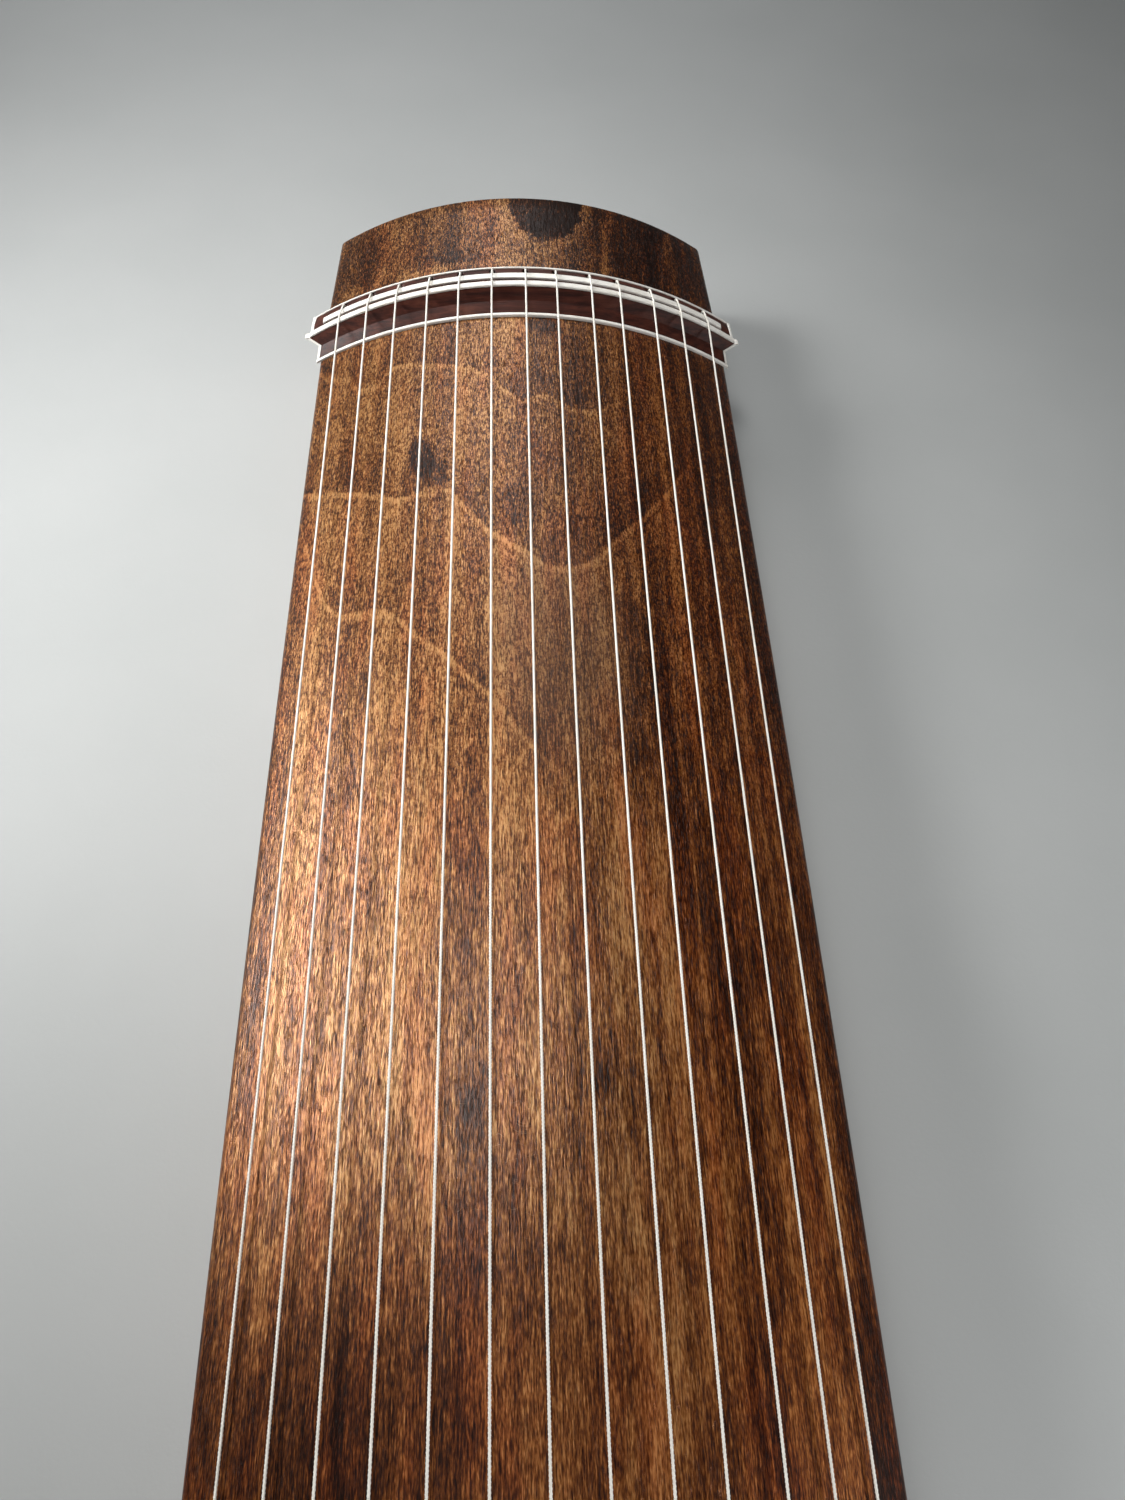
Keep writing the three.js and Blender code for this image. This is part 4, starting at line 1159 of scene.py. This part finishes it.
    # White plates over the ends, folded along the notch.
    base = [(-11.0, 0.35), (-11.0, 1.55), (-5.1, 5.0), (-0.1, 11.3), (0.05, 12.35), (0.35, 12.7), (3.9, 12.7), (4.25, 12.35), (4.7, 10.4), (20.6, 9.7), (20.6, 5.0), (20.6, 0.35)]
    split = (2, 10)
    mid = np.array((6.0, 5.0))
    for side, s in (("left", -1), ("right", 1)):
        rings = []
        for c, inset in ((0.25, 0.0), (1.25, 0.0), (1.5, 0.1), (1.6, 0.3)):
            ring = []
            for p in base:
                q = np.array(p, float)
                if abs(q[1] - 5.0) > 1e-6:
                    q = q + (mid - q) / np.linalg.norm(mid - q) * inset
                else:
                    q = q + (inset if q[0] < 0 else -inset, 0)
                x = s * (both_ends(q[1]) + c)
                ring.append(place(x, q[0], q[1]))
            rings.append(ring)
        n = len(base)
        loops = [list(range(split[0], split[1] + 1)), list(range(split[1], n)) + list(range(0, split[0] + 1))]
        me = loft(rings, loops)
        finish_piece(prefix + "_cap_%s_piece" % side, me, IVORY, [prefix + "_cap_" + side], sharp=25)


make_saddle("head_saddle", HEAD_CREST_Y, 1)
make_saddle("tail_saddle", TAIL_CREST_Y, -1)


# ---- tail panel with a lobed front -----------------------------------------------------------------
def panel_front(u):
    a = abs(u)
    return -772 - 12 * a * a - 5 * abs(math.sin(2.5 * math.pi * a + math.pi / 2))


def over_tail(profile, front, rear, inset, steps):
    """A thin sheet on the crown. profile: (share from front to rear, extra mm towards the tail, z)."""
    rings = []
    for u in np.linspace(-1, 1, steps):
        ring = []
        for share, extra, z in profile:
            Y = front(u) + (rear - front(u)) * share if not callable(rear) else mix(front(u), rear(u), share)
            Y -= extra
            x = u * (half_width(Y) - inset)
            ring.append((x, Y, top_z(x, Y) + z))
        rings.append(ring)
    return loft(rings)


rear_y = TAIL_END_Y + 3.5
sheet_profile = [(0, 0, 0.05), (0, 0, 1.4), (0, 0.15, 1.7), (0, 0.5, 1.8)]
sheet_profile += [(t, 0, 1.8) for t in np.linspace(0.03, 0.97, 18)]
sheet_profile += [(1, -0.5, 1.8), (1, -0.15, 1.7), (1, 0, 1.4), (1, 0, 0.05)]
sheet_profile += [(t, 0, 0.05) for t in np.linspace(0.97, 0.03, 18)]
finish_piece("tail_panel_piece", over_tail(sheet_profile, panel_front, rear_y, 6, 181), ROSE_Y, ["tail_panel"], sharp=40)
edge_profile = [(0, 0, 0.05), (0, 0, 1.6), (0, 0.25, 1.92), (0.5, 0, 2.05), (1, -0.25, 1.92), (1, 0, 1.6), (1, 0, 0.05)]
finish_piece(
    "tail_panel_edge_piece",
    over_tail(edge_profile, lambda u: panel_front(u) + 1.9, lambda u: panel_front(u) + 0.15, 6, 241),
    IVORY, ["tail_panel_edge"], sharp=50,
)

# ---- feet ---------------------------------------------------------------------------------------------
for name, x, Y, lx, ly in (
    ("head_foot_left", -88, 868, 44, 24), ("head_foot_right", 88, 868, 44, 24),
    ("tail_foot_left", -99, -866, 28, 26), ("tail_foot_right", 99, -866, 28, 26),
):
    me = plate(rounded_rect(lx / 2, ly / 2, 5, x, Y), [], 8.95, 1.1)
    me.transform(Matrix.Translation((0, 0, 8.95 / 2 * MM)))
    finish_piece(name + "_piece", me, ROSE_X, [name], sharp=35)

# ---- floor and light --------------------------------------------------------------------------------------
floor_mesh = bpy.data.meshes.new("floor")
floor_mesh.from_pydata([(-4, -4, 0), (4, -4, 0), (4, 4, 0), (-4, 4, 0)], [], [(0, 1, 2, 3)])
floor = bpy.data.objects.new("floor", floor_mesh)
scene.collection.objects.link(floor)
floor_mesh.materials.append(FLOOR)
floor.location.z = -0.0003


def area_light(name, at, aim, wide, high, power, colour=(1, 1, 1), spread=180.0):
    data = bpy.data.lights.new(name, "AREA")
    data.shape, data.size, data.size_y = "RECTANGLE", wide, high
    data.energy, data.color, data.spread = power, colour, math.radians(spread)
    ob = bpy.data.objects.new(name, data)
    scene.collection.objects.link(ob)
    ob.location = at
    ob.rotation_euler = (Vector(aim) - Vector(at)).to_track_quat("-Z", "Y").to_euler()
    return ob


area_light("window", (-1.15, 1.0, 0.75), (0.12, 0.72, 0.0), 0.9, 0.5, 2.3, (1.0, 0.99, 0.975), 60.0)
area_light("wash", (-1.0, 0.85, 0.55), (-0.30, 0.62, 0.0), 0.5, 0.4, 0.75, (0.97, 0.985, 1.0), 60.0)
area_light("upper_window", (-0.40, 0.90, 1.45), (-0.18, 0.58, 0.05), 0.70, 0.75, 1.05, (1.0, 0.985, 0.965), 37.0)
area_light("head", (-0.30, 2.15, 1.30), (-0.12, 1.17, 0.0), 1.0, 0.8, 3.8, (0.97, 0.985, 1.0), 92.0)
area_light("right_low", (1.20, -0.34, 0.50), (0.16, 0.14, 0.05), 0.6, 0.5, 2.4, (0.98, 0.99, 1.0), 76.0)
area_light("middle", (-0.20, -0.42, 1.50), (-0.02, -0.42, 0.0), 0.7, 0.7, 1.2, (1.0, 0.99, 0.975), 38.0)
area_light("tail", (-0.55, -1.15, 1.15), (0.0, -0.85, 0.0), 0.8, 0.8, 3.2, (1.0, 0.99, 0.975), 62.0)
area_light("tail_right", (1.05, -1.25, 0.75), (0.0, -0.85, 0.05), 0.6, 0.5, 1.6, (0.98, 0.99, 1.0), 60.0)

world = bpy.data.worlds.new("room")
world.use_nodes = True
world.node_tree.nodes["Background"].inputs[0].default_value = (0.98, 0.98, 0.97, 1.0)
world.node_tree.nodes["Background"].inputs[1].default_value = 0.07
scene.world = world
scene.view_settings.view_transform = "Standard"
scene.view_settings.look = "None"
